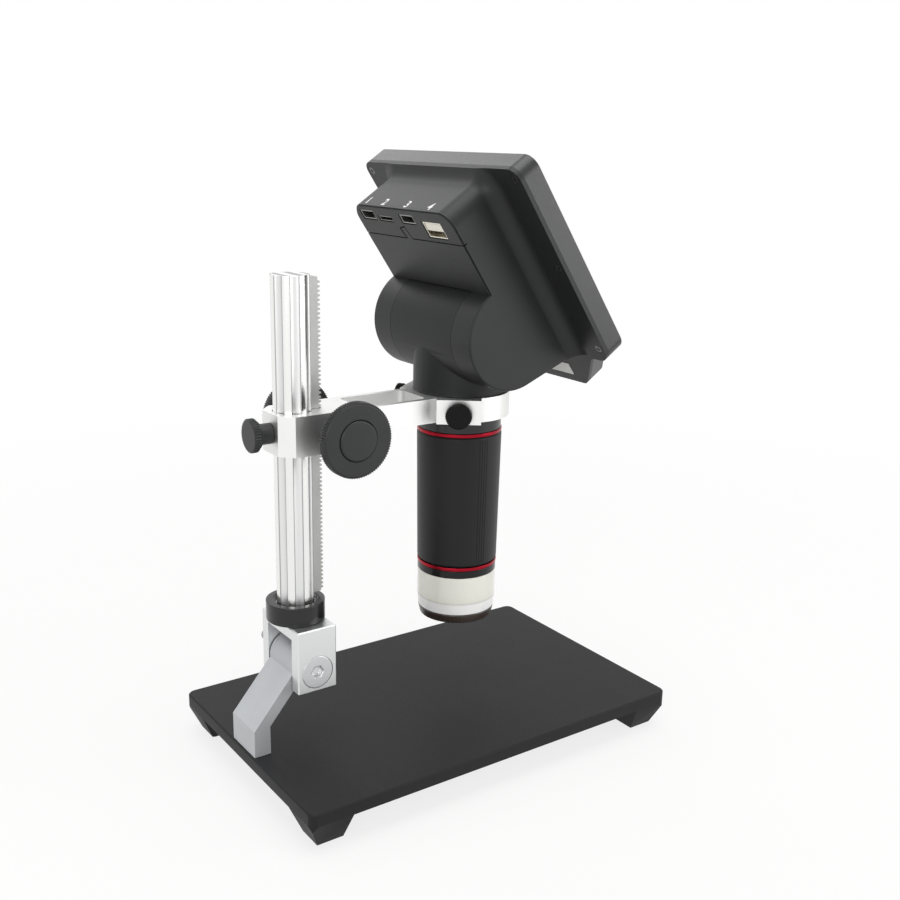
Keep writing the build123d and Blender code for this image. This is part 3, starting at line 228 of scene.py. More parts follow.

# Frosted acrylic cup: milky and a little cream under a polished skin. Its foot, below the seat of the lamp
# ring, is painted whiter as painted light, with a soft band of painted shade near that seat.
PAINTED_LIGHT_LOW, PAINTED_LIGHT_HIGH = 65.6, 73.6
frosted = finish("diffuser_clear", "frosted_acrylic", Transmission_Weight=0.1, IOR=1.49, Coat_Weight=1.0,
                 Coat_Roughness=0.08)
grain(*frosted, size=0.35, depth=0.02, rough=(0.4, 0.55))
tree, shader, place = frosted
level = put(tree, "ShaderNodeSeparateXYZ", {0: place})
painted_light_zones = put(tree, "ShaderNodeMapRange", {"Value": level.outputs["Z"], "From Min": PAINTED_LIGHT_LOW * MM,
                                         "From Max": PAINTED_LIGHT_HIGH * MM})
banded(tree, shader, painted_light_zones, "#ffffff", "#f7f6ec", (0.42, "#fefefc"), (0.48, "#dcdcd6"), (0.62, "#f3f2e6"))

# Smoked polycarbonate nose ring: brown-black with a soft moulded gloss.
smoked = finish("nose_dark", "smoked_polycarbonate", IOR=1.58)
grain(*smoked, size=0.9, depth=0.0003, rough=(0.26, 0.34), tint=("#302722", "#382e29"))

# Solder mask over glass-fibre board: green, semi-gloss, slightly uneven.
mask = finish("board_green", "solder_mask")
grain(*mask, size=0.5, depth=0.01, rough=(0.3, 0.4), tint=("#15522f", "#1a6138"))

# Silicone over phosphor: pale yellow lamp chips.
phosphor = finish("led_white", "phosphor_silicone", Transmission_Weight=0.1)
grain(*phosphor, size=0.3, depth=0.01, rough=(0.3, 0.4), tint=("#e9e2a8", "#f3ecc0"))

# Coated optical glass: clear, with a faint cool tint.
optical = finish("lens_glass", "coated_optical_glass", Transmission_Weight=1.0, IOR=1.52,
                 Base_Color=linear("#eef4f8"))
grain(*optical, size=5.0, depth=0.0005, rough=(0.0, 0.03))

# Polyester ribbon: off-white film with a dull gloss.
film = finish("ribbon_white", "polyester_film")
grain(*film, size=0.8, depth=0.01, rough=(0.35, 0.5), tint=("#d6d5cd", "#e2e1da"))

# Injection-moulded ABS with a spark-eroded texture: black that goes grey and soft at grazing angles.
shell = finish("shell_black", "spark_textured_abs", Specular_IOR_Level=0.32)
grain(*shell, size=0.4, depth=0.008, rough=(0.4, 0.5), tint=("#1f2020", "#252626"))

# The same ABS on the turned neck, a darker copy as painted shade, with a low even gloss.
shaded_neck_abs = finish("neck_black", "worn_textured_abs", Specular_IOR_Level=0.28)
grain(*shaded_neck_abs, size=0.5, depth=0.006, rough=(0.42, 0.52), tint=("#1c1d1d", "#222323"))

# The same ABS from a smoother tool, on the front frame.
front = finish("frame_black", "satin_moulded_abs", IOR=1.53)
grain(*front, size=0.6, depth=0.008, rough=(0.3, 0.4), tint=("#1b1c1c", "#212222"))

# Nickel-plated steel sockets: bright warm-white metal.
nickel = finish("port_metal", "nickel_plated_steel", Metallic=1.0)
grain(*nickel, size=0.6, depth=0.004, rough=(0.16, 0.28), tint=("#d8d4c8", "#e6e2d6"))

# Steel of the small sockets, a darker grey than the wide socket's as painted shade in the small mouths, and a
# little dull, so that each mouth has a thin pale outline.
shaded_socket_metal = finish("small_socket", "tinned_steel", Metallic=1.0)
grain(*shaded_socket_metal, size=0.6, depth=0.004, rough=(0.3, 0.42), tint=("#8c8c8a", "#a2a2a0"))

# Nylon tongue of the wide socket: cream, moulded, with a soft gloss.
nylon = finish("socket_tongue", "moulded_cream_nylon")
grain(*nylon, size=0.5, depth=0.006, rough=(0.25, 0.4), tint=("#efe9da", "#faf5e8"))

# Polariser film over the display: blue-black, flat and glossy.
polariser = finish("lcd_black", "polariser_film", Specular_IOR_Level=0.2)
grain(*polariser, size=6.0, depth=0.001, rough=(0.12, 0.18), tint=("#06070a", "#08090c"))

# Tempered cover glass: near clear, with a sharp reflection.
cover = finish("screen_glass", "tempered_glass", Transmission_Weight=1.0, IOR=1.51,
               Base_Color=linear("#d9dde0"))
grain(*cover, size=9.0, depth=0.0006, rough=(0.02, 0.05))

# Black zinc on small steel screws, worn to a dark metallic grey.
black_zinc = finish("screw_black", "black_zinc_steel", Metallic=0.9)
grain(*black_zinc, size=0.25, depth=0.006, rough=(0.25, 0.4), tint=("#5c5c5e", "#7c7c7e"))

# Matt vinyl sticker, blank.
vinyl = finish("label_white", "matt_vinyl")
grain(*vinyl, size=0.4, depth=0.006, rough=(0.45, 0.6), tint=("#dddcd8", "#e8e7e4"))

# Rubber-coated ABS keys: dark grey, matt.
key_grey = finish("button_grey", "coated_abs_key")
grain(*key_grey, size=0.35, depth=0.01, rough=(0.45, 0.58), tint=("#333436", "#3c3d3f"))

# Screen-printed white ink: opaque and matt.
ink = finish("ink", "screen_printed_ink")
grain(*ink, size=0.3, depth=0.01, rough=(0.45, 0.6), tint=("#dcdcda", "#ebebea"))

for node in NODES.values():
    for space in node.material_slots:
        space.material = FINISH[space.material.name.split(".")[0]]


# ---------------------------------------------------------------- making pieces
# Points closer than this many mm are one point, and faces that lean less than this many degrees are one face.
SAME_POINT = 0.002
SAME_FACE = 0.4


def piece_from(name, mesh, slot):
    """An object at the origin that holds a mesh and its finish."""
    piece = bpy.data.objects.new(name, mesh)
    bpy.context.scene.collection.objects.link(piece)
    mesh.materials.clear()
    mesh.materials.append(FINISH[slot])
    return piece


def settled(piece):
    """Turn a piece and its modifiers into a plain mesh."""
    seen = piece.evaluated_get(bpy.context.evaluated_depsgraph_get())
    mesh = bpy.data.meshes.new_from_object(seen)
    piece.modifiers.clear()
    piece.data = mesh
    return piece


def eased(piece, width, sharper=28.0):
    """Round the edges sharper than an angle by a width in mm, and keep broad faces flat in the shading."""
    for face in piece.data.polygons:
        face.use_smooth = True
    edge = piece.modifiers.new("edge", "BEVEL")
    edge.width = width * MM
    edge.segments = 2
    edge.limit_method = "ANGLE"
    edge.angle_limit = radians(sharper)
    flat = piece.modifiers.new("flat", "WEIGHTED_NORMAL")
    flat.keep_sharp = True
    return settled(piece)


def given(piece, body, slot, *nodes):
    """Let a finished piece ride on its body, and stand for the CAD nodes that it dresses."""
    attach(piece, body)
    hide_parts(*nodes)
    return piece


def dressed(node, name, body, slot, width):
    """A copy of a CAD node with its facets merged and its edges rounded by a width in mm."""
    source = NODES[node].data
    mesh = bpy.data.meshes.new(name)
    mesh.from_pydata([v.co for v in source.vertices], [], [f.vertices for f in source.polygons])
    shape = bmesh.new()
    shape.from_mesh(mesh)
    bmesh.ops.remove_doubles(shape, verts=shape.verts, dist=SAME_POINT * MM)
    bmesh.ops.dissolve_limit(shape, angle_limit=radians(SAME_FACE), verts=shape.verts, edges=shape.edges)
    shape.to_mesh(mesh)
    shape.free()
    return given(eased(piece_from(name, mesh, slot), width), body, slot, node)


def facing(point, direction):
    """The place of a turned piece: its own +Z along a direction, from a point."""
    return Matrix.Translation(point) @ Vector(direction).to_track_quat("Z", "Y").to_matrix().to_4x4()


def turned(name, slot, place, outline, width, steps=96):
    """A piece turned about its own Z axis from an outline of (radius, height) in mm; radius 0 closes it."""
    shape = bmesh.new()
    rings = []
    for radius, height in outline:
        if radius == 0:
            rings.append([shape.verts.new((0, 0, height * MM))])
            continue
        spots = [(radius * cos(tau * i / steps), radius * sin(tau * i / steps)) for i in range(steps)]
        rings.append([shape.verts.new((x * MM, y * MM, height * MM)) for x, y in spots])
    pairs = list(zip(rings, rings[1:]))
    if len(rings[0]) > 1:
        pairs.append((rings[-1], rings[0]))
    for low, high in pairs:
        for i in range(steps):
            corners = [low[i % len(low)], low[(i + 1) % len(low)],
                       high[(i + 1) % len(high)], high[i % len(high)]]
            shape.faces.new(list(dict.fromkeys(corners)))
    bmesh.ops.recalc_face_normals(shape, faces=shape.faces)
    shape.transform(place)
    mesh = bpy.data.meshes.new(name)
    shape.to_mesh(mesh)
    shape.free()
    return eased(piece_from(name, mesh, slot), width)


# ---------------------------------------------------------------- geometry nodes
def rule(name, **sizes):
    """A geometry tree that takes a mesh and the named sizes; returns it with its two ends."""
    tree = bpy.data.node_groups.new(name, "GeometryNodeTree")
    tree.interface.new_socket("Geometry", in_out="INPUT", socket_type="NodeSocketGeometry")
    for key, value in sizes.items():
        kind = "NodeSocketInt" if isinstance(value, int) else "NodeSocketFloat"
        socket = tree.interface.new_socket(key.replace("_", " "), in_out="INPUT", socket_type=kind)
        socket.default_value = value
    tree.interface.new_socket("Geometry", in_out="OUTPUT", socket_type="NodeSocketGeometry")
    start = tree.nodes.new("NodeGroupInput")
    end = tree.nodes.new("NodeGroupOutput")
    return tree, start.outputs, end.inputs


def followed(piece, tree, **sizes):
    """Run a geometry tree on a piece with these sizes, and keep the result as a plain mesh."""
    modifier = piece.modifiers.new(tree.name, "NODES")
    modifier.node_group = tree
    for item in tree.interface.items_tree:
        key = item.name.replace(" ", "_")
        if item.in_out == "INPUT" and key in sizes:
            modifier[item.identifier] = sizes[key]
    return settled(piece)


def span(tree, size):
    """The length and the middle between a tree's Low and High."""
    length = put(tree, "ShaderNodeMath", {0: size["High"], 1: size["Low"]}, operation="SUBTRACT")
    total = put(tree, "ShaderNodeMath", {0: size["High"], 1: size["Low"]}, operation="ADD")
    return length, put(tree, "ShaderNodeMath", {0: total, 1: 0.5}, operation="MULTIPLY")


def bearing_of_points(tree):
    """Each point's place as separate numbers, and its angle about Z."""
    spot = put(tree, "ShaderNodeSeparateXYZ", {0: put(tree, "GeometryNodeInputPosition")})
    angle = put(tree, "ShaderNodeMath", {0: spot.outputs["Y"], 1: spot.outputs["X"]}, operation="ARCTAN2")
    return spot, angle


def end_with(tree, end, shapes, material, base=None):
    """End a tree: make its shapes real, give them a material, and add them to the base that they stand on."""
    whole = put(tree, "GeometryNodeRealizeInstances", {0: shapes})
    result = put(tree, "GeometryNodeSetMaterial", {"Geometry": whole, "Material": material})
    if base is not None:
        painted = result.outputs[0]
        result = put(tree, "GeometryNodeJoinGeometry", {0: base})
        tree.links.new(painted, result.inputs[0])
    tree.links.new(result.outputs[0], end[0])


def fluted_bar(material):
    """A round bar with flutes up its length; the place of the first one stays plain for the rack.

    Its attribute "flute" says how deep each point lies, as a share of the flutes' depth.
    """
    tree, size, end = rule("fluted_bar", Radius=0.008, Low=0.0, High=0.1, Flutes=7, Flute_Radius=0.0035,
                           Flute_Depth=0.001, Steps=560)
    length, middle = span(tree, size)
    bar = put(tree, "GeometryNodeMeshCylinder",
              {"Vertices": size["Steps"], "Radius": size["Radius"], "Depth": length})
    spot, angle = bearing_of_points(tree)
    share = put(tree, "ShaderNodeMath", {0: pi, 1: size["Flutes"]}, operation="DIVIDE")
    minus = put(tree, "ShaderNodeMath", {0: share, 1: -1.0}, operation="MULTIPLY")
    off = put(tree, "ShaderNodeMath", {0: angle, 1: share, 2: minus}, operation="WRAP")

    # Each flute is the part of a circle that lies inside the bar; floor is how far out that circle begins.
    reach = put(tree, "ShaderNodeMath", {0: size["Radius"], 1: size["Flute Radius"]}, operation="ADD")
    centre = put(tree, "ShaderNodeMath", {0: reach, 1: size["Flute Depth"]}, operation="SUBTRACT")
    aside = put(tree, "ShaderNodeMath", {0: off}, operation="SINE")
    across = put(tree, "ShaderNodeMath", {0: aside, 1: centre}, operation="MULTIPLY")
    across_2 = put(tree, "ShaderNodeMath", {0: across, 1: 2.0}, operation="POWER")
    radius_2 = put(tree, "ShaderNodeMath", {0: size["Flute Radius"], 1: 2.0}, operation="POWER")
    left = put(tree, "ShaderNodeMath", {0: radius_2, 1: across_2}, operation="SUBTRACT")
    chord = put(tree, "ShaderNodeMath", {0: left}, operation="SQRT")
    ahead = put(tree, "ShaderNodeMath", {0: off}, operation="COSINE")
    along = put(tree, "ShaderNodeMath", {0: ahead, 1: centre}, operation="MULTIPLY")
    floor = put(tree, "ShaderNodeMath", {0: along, 1: chord}, operation="SUBTRACT")

    # The bar is cut down to that floor inside a flute, except in the rack's place.
    in_flute = put(tree, "ShaderNodeMath", {0: floor, 1: size["Radius"]}, operation="LESS_THAN")
    size_of_angle = put(tree, "ShaderNodeMath", {0: angle}, operation="ABSOLUTE")
    not_rack = put(tree, "ShaderNodeMath", {0: size_of_angle, 1: share}, operation="GREATER_THAN")
    cut = put(tree, "ShaderNodeMath", {0: in_flute, 1: not_rack}, operation="MULTIPLY")
    deep = put(tree, "ShaderNodeMath", {0: floor, 1: size["Radius"]}, operation="MINIMUM")
    radius = put(tree, "ShaderNodeMix", {0: cut, 2: size["Radius"], 3: deep})
    cosine = put(tree, "ShaderNodeMath", {0: angle}, operation="COSINE")
    sine = put(tree, "ShaderNodeMath", {0: angle}, operation="SINE")
    x = put(tree, "ShaderNodeMath", {0: cosine, 1: radius}, operation="MULTIPLY")
    y = put(tree, "ShaderNodeMath", {0: sine, 1: radius}, operation="MULTIPLY")
    z = put(tree, "ShaderNodeMath", {0: spot.outputs["Z"], 1: middle}, operation="ADD")
    place = put(tree, "ShaderNodeCombineXYZ", {0: x, 1: y, 2: z})
    moved = put(tree, "GeometryNodeSetPosition", {"Geometry": bar, "Position": place})

    sunk = put(tree, "ShaderNodeMath", {0: size["Radius"], 1: radius}, operation="SUBTRACT")
    part_deep = put(tree, "ShaderNodeMath", {0: sunk, 1: size["Flute Depth"]}, operation="DIVIDE")
    marked = put(tree, "GeometryNodeStoreNamedAttribute",
                 {"Geometry": moved, "Name": "flute", "Value": part_deep}, data_type="FLOAT")
    end_with(tree, end, marked, material)
    return tree


def knurled_rim(material):
    """Ridges round a head, added to it: square bars set on edge, side by side about its Z axis."""
    tree, size, end = rule("knurled_rim", Radius=0.01, Ridges=60, Ridge=0.0004, Low=0.0, High=0.002)
    ring = put(tree, "GeometryNodeMeshCircle", {"Vertices": size["Ridges"], "Radius": size["Radius"]})
    _, angle = bearing_of_points(tree)
    on_edge = put(tree, "ShaderNodeMath", {0: angle, 1: pi / 4}, operation="ADD")
    turn = put(tree, "ShaderNodeCombineXYZ", {2: on_edge})
    length, middle = span(tree, size)
    block = put(tree, "ShaderNodeCombineXYZ", {0: size["Ridge"], 1: size["Ridge"], 2: length})
    lift = put(tree, "ShaderNodeCombineXYZ", {2: middle})
    bar = put(tree, "GeometryNodeMeshCube", {"Size": block})
    raised = put(tree, "GeometryNodeTransform", {"Geometry": bar, "Translation": lift})
    bars = put(tree, "GeometryNodeInstanceOnPoints", {"Points": ring, "Instance": raised, "Rotation": turn})
    end_with(tree, end, bars, material, base=size["Geometry"])
    return tree


def cross_screws(material):
    """A round head with a cross recess on every point, leant about Y."""
    tree, size, end = rule("cross_screws", Head_Radius=0.0019, Head_Height=0.001, Slot_Width=0.0005,
                           Slot_Length=0.0022, Slot_Depth=0.0006, Lean=0.0)
    head = put(tree, "GeometryNodeMeshCylinder",
               {"Vertices": 40, "Radius": size["Head Radius"], "Depth": size["Head Height"]})
    cut = put(tree, "GeometryNodeMeshBoolean", {"Mesh 1": head}, operation="DIFFERENCE")
    deep = put(tree, "ShaderNodeMath", {0: size["Slot Depth"], 1: 2.0}, operation="MULTIPLY")
    top = put(tree, "ShaderNodeMath", {0: size["Head Height"], 1: 0.5}, operation="MULTIPLY")
    lift = put(tree, "ShaderNodeCombineXYZ", {2: top})
    for x, y in (("Slot Length", "Slot Width"), ("Slot Width", "Slot Length")):
        sides = put(tree, "ShaderNodeCombineXYZ", {0: size[x], 1: size[y], 2: deep})
        arm = put(tree, "GeometryNodeMeshCube", {"Size": sides})
        raised = put(tree, "GeometryNodeTransform", {"Geometry": arm, "Translation": lift})
        tree.links.new(raised.outputs[0], cut.inputs["Mesh 2"])
    lean = put(tree, "ShaderNodeCombineXYZ", {1: size["Lean"]})
    heads = put(tree, "GeometryNodeInstanceOnPoints",
                {"Points": size["Geometry"], "Instance": cut, "Rotation": lean})
    end_with(tree, end, heads, material)
    return tree


def grip_lines(material):
    """Thin upright ribs added to a tube, side by side from one bearing, and leant in as it tapers."""
    tree, size, end = rule("grip_lines", Radius=0.0195, Low=0.0, High=0.05, Width=0.0003, Proud=0.0001,
                           First=0.0, Step=0.07, Ribs=4, Taper=0.0)
    row = put(tree, "GeometryNodeMeshLine", {"Count": size["Ribs"], "Offset": (0.0, 0.0, 0.0)}, mode="OFFSET")
    number = put(tree, "GeometryNodeInputIndex")
    turn_on = put(tree, "ShaderNodeMath", {0: number, 1: size["Step"], 2: size["First"]},
                  operation="MULTIPLY_ADD")
    bearing = put(tree, "ShaderNodeCombineXYZ", {2: turn_on})
    length, middle = span(tree, size)
    depth = put(tree, "ShaderNodeMath", {0: size["Proud"], 1: 2.0}, operation="MULTIPLY")
    block = put(tree, "ShaderNodeCombineXYZ", {0: depth, 1: size["Width"], 2: length})
    lean = put(tree, "ShaderNodeCombineXYZ", {1: size["Taper"]})
    out = put(tree, "ShaderNodeCombineXYZ", {0: size["Radius"], 2: middle})
    bar = put(tree, "GeometryNodeMeshCube", {"Size": block})
    leant = put(tree, "GeometryNodeTransform", {"Geometry": bar, "Rotation": lean})
    set_out = put(tree, "GeometryNodeTransform", {"Geometry": leant, "Translation": out})
    ribs = put(tree, "GeometryNodeInstanceOnPoints",
               {"Points": row, "Instance": set_out, "Rotation": bearing})
    end_with(tree, end, ribs, material, base=size["Geometry"])
    return tree


def moved_into_place(piece, place):
    """Apply a place to a piece's mesh, so that the object itself stays at the origin."""
    piece.data.transform(place)
    piece.data.update()
    return piece


# ---------------------------------------------------------------- base
dressed("base_tray", "tray", "base", "tray_black", width=0.35)
dressed("bracket_arm", "leaning_bracket", "base", "bracket_silver", width=0.3)

# ---------------------------------------------------------------- knuckle, column and collar
dressed("knuckle_block", "knuckle", "post", "block_silver", width=0.25)
dressed("pivot_bolt", "pivot_head", "post", "pivot_silver", width=0.45)
dressed("pivot_nut", "pivot_far_nut", "post", "pivot_silver", width=0.4)
dressed("knuckle_set_screw", "side_set_screw", "post", "screw_steel", width=0.2)

column_low, column_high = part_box("column")
column_axis = Vector((JOINTS["collar_turn"]["pos_m"][0], 0, 0))
column = piece_from("fluted_column", bpy.data.meshes.new("fluted_column"), "column_alu")
followed(column, fluted_bar(FINISH["column_alu"]), Radius=column_axis.x - column_low.x, Low=column_low.z,
         High=column_high.z, Flute_Radius=3.5 * MM, Flute_Depth=0.95 * MM)
moved_into_place(column, Matrix.Translation(column_axis))
given(eased(column, width=0.12, sharper=50), "post", "column_alu", "column")

collar_low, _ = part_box("collar_nut")
# Outlines, here and below, are (radius, height) in mm, from the place where the piece is put.
COLLAR = [(8.9, 0.05), (13.05, 0.05), (13.05, 8.9), (9.9, 8.9), (9.9, 8.2), (8.9, 8.2)]
collar_place = Matrix.Translation((column_axis.x, 0, collar_low.z))
collar = turned("locking_collar", "collar_black", collar_place, COLLAR, width=0.55)
given(collar, "collar", "collar_black", "collar_nut")

# ---------------------------------------------------------------- carriage, knobs and thumb screws
dressed("carriage_arm", "sliding_carriage", "carriage", "arm_alu", width=0.35)

knurl = {slot: knurled_rim(FINISH[slot]) for slot in ("knob_black", "thumb_black")}
pinion = Vector(JOINTS["pinion_turn"]["pos_m"])
KNOB = [(0, -15.7), (7.0, -15.7), (7.0, -4.6), (15.3, -4.6), (15.9, -4.2), (15.9, -0.5), (15.3, 0),
        (9.0, 0), (9.0, -1.4), (0, -1.4)]
CAP = [(0, -1.4), (8.8, -1.4), (8.8, 0.3), (8.1, 0.8), (0, 0.8)]
for side, name in ((-1, "right"), (1, "left")):
    low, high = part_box(f"focus_knob_{name}")
    face = high.y if side > 0 else low.y
    place = facing((pinion.x, face, pinion.z), (0, side, 0))
    knob = turned(f"knob_{name}", "knob_black", Matrix.Identity(4), KNOB, width=0.25)
    followed(knob, knurl["knob_black"], Radius=15.85 * MM, Ridges=90, Ridge=0.74 * MM, Low=-4.3 * MM,
             High=-0.4 * MM)
    given(moved_into_place(knob, place), "drive", "knob_black", f"focus_knob_{name}")
    cap = turned(f"knob_cap_{name}", "knob_black", place, CAP, width=0.2)
    given(cap, "drive", "knob_black", "knob_caps")

LOCK = [(0, 0.3), (4.5, 0.3), (4.5, 5.7), (5.9, 5.9), (5.9, 6.6), (5.2, 6.7), (5.2, 7.0), (6.7, 7.1),
        (7.0, 7.4), (7.0, 9.7), (6.5, 10.1), (0, 10.1)]
lock_point = Vector(JOINTS["lock_turn"]["pos_m"])
lock = turned("lock_thumb_screw", "thumb_black", Matrix.Identity(4), LOCK, width=0.15)
lock.data.materials[0] = FINISH["knob_black"]
followed(lock, knurl["knob_black"], Radius=6.8 * MM, Ridges=40, Ridge=0.68 * MM, Low=7.2 * MM, High=9.8 * MM)
given(moved_into_place(lock, facing(lock_point, (-1, 0, 0))), "column_lock", "thumb_black", "lock_screw")

RING_SCREW = [(0, 0.3), (3.2, 0.3), (3.2, 1.5), (5.6, 1.7), (5.8, 2.0), (5.8, 4.7), (5.3, 5.1), (0, 5.1)]
for name in ("right", "left"):
    clamp = JOINTS[f"{name}_clamp_turn"]
    screw = turned(f"clamp_thumb_screw_{name}", "thumb_black", Matrix.Identity(4), RING_SCREW, width=0.15)
    followed(screw, knurl["thumb_black"], Radius=5.65 * MM, Ridges=34, Ridge=0.62 * MM, Low=2.0 * MM,
             High=4.8 * MM)
    moved_into_place(screw, facing(clamp["pos_m"], clamp["axis"]))
    given(screw, f"{name}_clamp", "thumb_black", f"ring_screw_{name}")

# ---------------------------------------------------------------- camera tube
tube_axis = Vector((JOINTS["focus_turn"]["pos_m"][0], 0, 0))
on_tube = Matrix.Translation(tube_axis)


def ring_of(node):
    """Outer radius, foot and top of a round CAD node on the camera tube, in mm."""
    low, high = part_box(node)
    return (high.y - low.y) / 2 / MM, low.z / MM, high.z / MM


# Sizes in mm that these pieces share: the radii of their bores, and the height of the lamp ring's seat.
TUBE_BORE = 17.0
SLEEVE_BORE = 17.1
CUP_BORE = 17.05
LAMP_BORE = 14.9
NOSE_BORE = 12.0
LAMP_SEAT = 70.2


def hoop(node):
    """The outline of a plain ring round the tube."""
    radius, foot, top = ring_of(node)
    return [(TUBE_BORE, foot), (radius, foot), (radius, top), (TUBE_BORE, top)]


dressed("scope_tube", "barrel", "scope", "tube_black", width=0.3)
for node, name in (("upper_trim_ring", "upper_red_ring"), ("lower_trim_ring", "lower_red_ring")):
    ring = turned(name, "trim_red", on_tube, hoop(node), width=0.28)
    given(ring, "scope", "trim_red", node)

# Two rows of ribs stand on the sleeve: the bearings where they start and the step between ribs, in degrees,
# and how far they end from its rims, in mm. The sleeve is narrower at its foot.
RIB_ROWS, RIB_STEP, RIB_END = (-96, 78), 4, 1.5
FOOT_RADIUS = 19.1
radius, foot, top = ring_of("focus_sleeve")
SLEEVE = [(SLEEVE_BORE, foot), (FOOT_RADIUS - 0.6, foot), (FOOT_RADIUS, foot + 0.8), (radius, top - 0.8),
          (radius - 0.7, top), (SLEEVE_BORE, top)]
sleeve = turned("grip_sleeve", "sleeve_rubber", Matrix.Identity(4), SLEEVE, width=0.3)
lines = grip_lines(FINISH["sleeve_rubber"])
taper = atan2(radius - FOOT_RADIUS, top - foot)
for first in RIB_ROWS:
    followed(sleeve, lines, Radius=(radius + FOOT_RADIUS) / 2 * MM, Low=(foot + RIB_END) * MM,
             High=(top - RIB_END) * MM, Width=0.3 * MM, Proud=0.12 * MM, First=radians(first),
             Step=radians(RIB_STEP), Taper=taper)
given(moved_into_place(sleeve, on_tube), "sleeve", "sleeve_rubber", "focus_sleeve")

band = turned("gloss_band", "band_black", on_tube, hoop("lower_band"), width=0.3)
given(band, "scope", "band_black", "lower_band")

radius, foot, top = ring_of("diffuser")
CUP = [(LAMP_BORE, foot), (radius - 0.5, foot), (radius, foot + 6.0), (radius, top), (CUP_BORE, top),
       (CUP_BORE, LAMP_SEAT), (LAMP_BORE, LAMP_SEAT)]
cup = turned("frosted_cup", "diffuser_clear", on_tube, CUP, width=0.4)
given(cup, "scope", "diffuser_clear", "diffuser")

radius, foot, top = ring_of("nose_ring")
LIP = foot + 4.25
NOSE = [(NOSE_BORE, foot), (radius - 0.8, foot), (radius, foot + 3.6), (radius - 0.1, LIP), (LAMP_BORE, LIP),
        (LAMP_BORE, top), (NOSE_BORE, top)]
nose = turned("nose_lip", "nose_dark", on_tube, NOSE, width=0.3)
given(nose, "scope", "nose_dark", "nose_ring")

neck = dressed("neck_tee", "neck", "scope", "shell_black", width=0.3)
neck.data.materials[0] = FINISH["neck_black"]

# ---------------------------------------------------------------- head
dressed("rear_shell", "rear_housing", "head", "shell_black", width=0.3)
dressed("front_frame", "front_bezel", "head", "frame_black", width=0.25)
dressed("port_panel", "port_plate", "head", "shell_black", width=0.12)
for node, name in (("left_port", "port_one"), ("card_slot", "port_two"), ("middle_port", "port_three"),
                   ("wide_port", "port_four")):
    socket = dressed(node, f"{name}_shell", "head", "port_metal", width=0.12)
    if name != "port_four":
        # The small sockets take the darker grey metal, as painted shade.
        socket.data.materials[0] = FINISH["small_socket"]
dressed("screen_glass", "cover_glass", "head", "screen_glass", width=0.15)

# The head's own axes: out of the screen, to its left, and up it.
tilt_point = Vector(JOINTS["screen_tilt"]["pos_m"])
out_of_screen = -Vector(JOINTS["key_1_press"]["axis"])
leftwards = Vector((0, 1, 0))
up_screen = out_of_screen.cross(leftwards)
in_head = Matrix.Translation(tilt_point) @ Matrix((out_of_screen, leftwards, up_screen)).transposed().to_4x4()


def head_point(out, left, up):
    """A point in the head's own millimetres."""
    return in_head @ Vector((out * MM, left * MM, up * MM))


# Where things sit on the head, in its own mm.
SCREW_SEAT, SCREWS_ASIDE, SCREW_ROWS = 26.35, 54.7, (64.2, 20.2, -24.0)
TONGUE_AT, TONGUE_SIZE = (5.6, -22.14, 56.4), (9.6, 12.0, 3.8)
NUMERALS_OUT, NUMERALS_UP = 2.2, 64.6
KEYS_OUT, KEYS_UP = 37.8, -17.0

spots = [head_point(SCREW_SEAT, side * SCREWS_ASIDE, up) for up in SCREW_ROWS for side in (-1, 1)]
seats = bpy.data.meshes.new("housing_screws")
seats.from_pydata(spots, [], [])
screws = piece_from("housing_screws", seats, "screw_black")
lean = atan2(-out_of_screen.x, -out_of_screen.z)
followed(screws, cross_screws(FINISH["screw_black"]), Head_Radius=1.85 * MM, Head_Height=0.7 * MM,
         Slot_Width=0.5 * MM, Slot_Length=2.4 * MM, Slot_Depth=0.5 * MM, Lean=lean)
given(screws, "head", "screw_black", "shell_screws")

tongue = bmesh.new()
bmesh.ops.create_cube(tongue, size=1.0)
tongue.transform(in_head @ Matrix.Translation(Vector(TONGUE_AT) * MM)
                 @ Matrix.Diagonal((*Vector(TONGUE_SIZE) * MM, 1.0)))
mesh = bpy.data.meshes.new("port_four_tongue")
tongue.to_mesh(mesh)
tongue.free()
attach(eased(piece_from("port_four_tongue", mesh, "socket_tongue"), width=0.3), "head")

# A numeral's height in mm, and as a share of its text size; its ink's thickness and spread in mm.
NUMERAL_HEIGHT, NUMERAL_SHARE = 4.2, 0.7
INK_THICKNESS, INK_SPREAD = 0.02, 0.16
for numeral, left in (("1", 27.4), ("2", 13.4), ("3", -4.6), ("4", -22.1)):
    text = bpy.data.curves.new(f"numeral_{numeral}", "FONT")
    text.body = numeral
    text.align_x = "CENTER"
    text.size = NUMERAL_HEIGHT / NUMERAL_SHARE * MM
    text.extrude = INK_THICKNESS * MM
    text.offset = INK_SPREAD * MM
    letter = bpy.data.objects.new(f"numeral_{numeral}", text)
    bpy.context.scene.collection.objects.link(letter)
    mesh = bpy.data.meshes.new_from_object(letter.evaluated_get(bpy.context.evaluated_depsgraph_get()))
    bpy.data.objects.remove(letter)
    along = Matrix((-leftwards, out_of_screen, up_screen)).transposed().to_4x4()
    mesh.transform(Matrix.Translation(head_point(NUMERALS_OUT, left, NUMERALS_UP)) @ along)
    mark = piece_from(f"port_numeral_{numeral}", mesh, "ink")
    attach(mark, "head")

KEY = [(0, -4.9), (4.9, -4.9), (4.9, -4.0), (3.95, -4.0), (3.95, -0.3), (3.4, 0), (1.8, -0.25), (0, -0.3)]
for number in range(1, 6):
    low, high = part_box(f"button_{number}")
    left = (low.y + high.y) / 2 / MM
    place = facing(head_point(KEYS_OUT, left, KEYS_UP), out_of_screen)
    button = turned(f"key_cap_{number}", "button_grey", place, KEY, width=0.15, steps=48)
    given(button, f"key_{number}", "button_grey", f"button_{number}")

# ---------------------------------------------------------------- floor, light and camera
scene = bpy.context.scene
scene.view_settings.view_transform = "Standard"


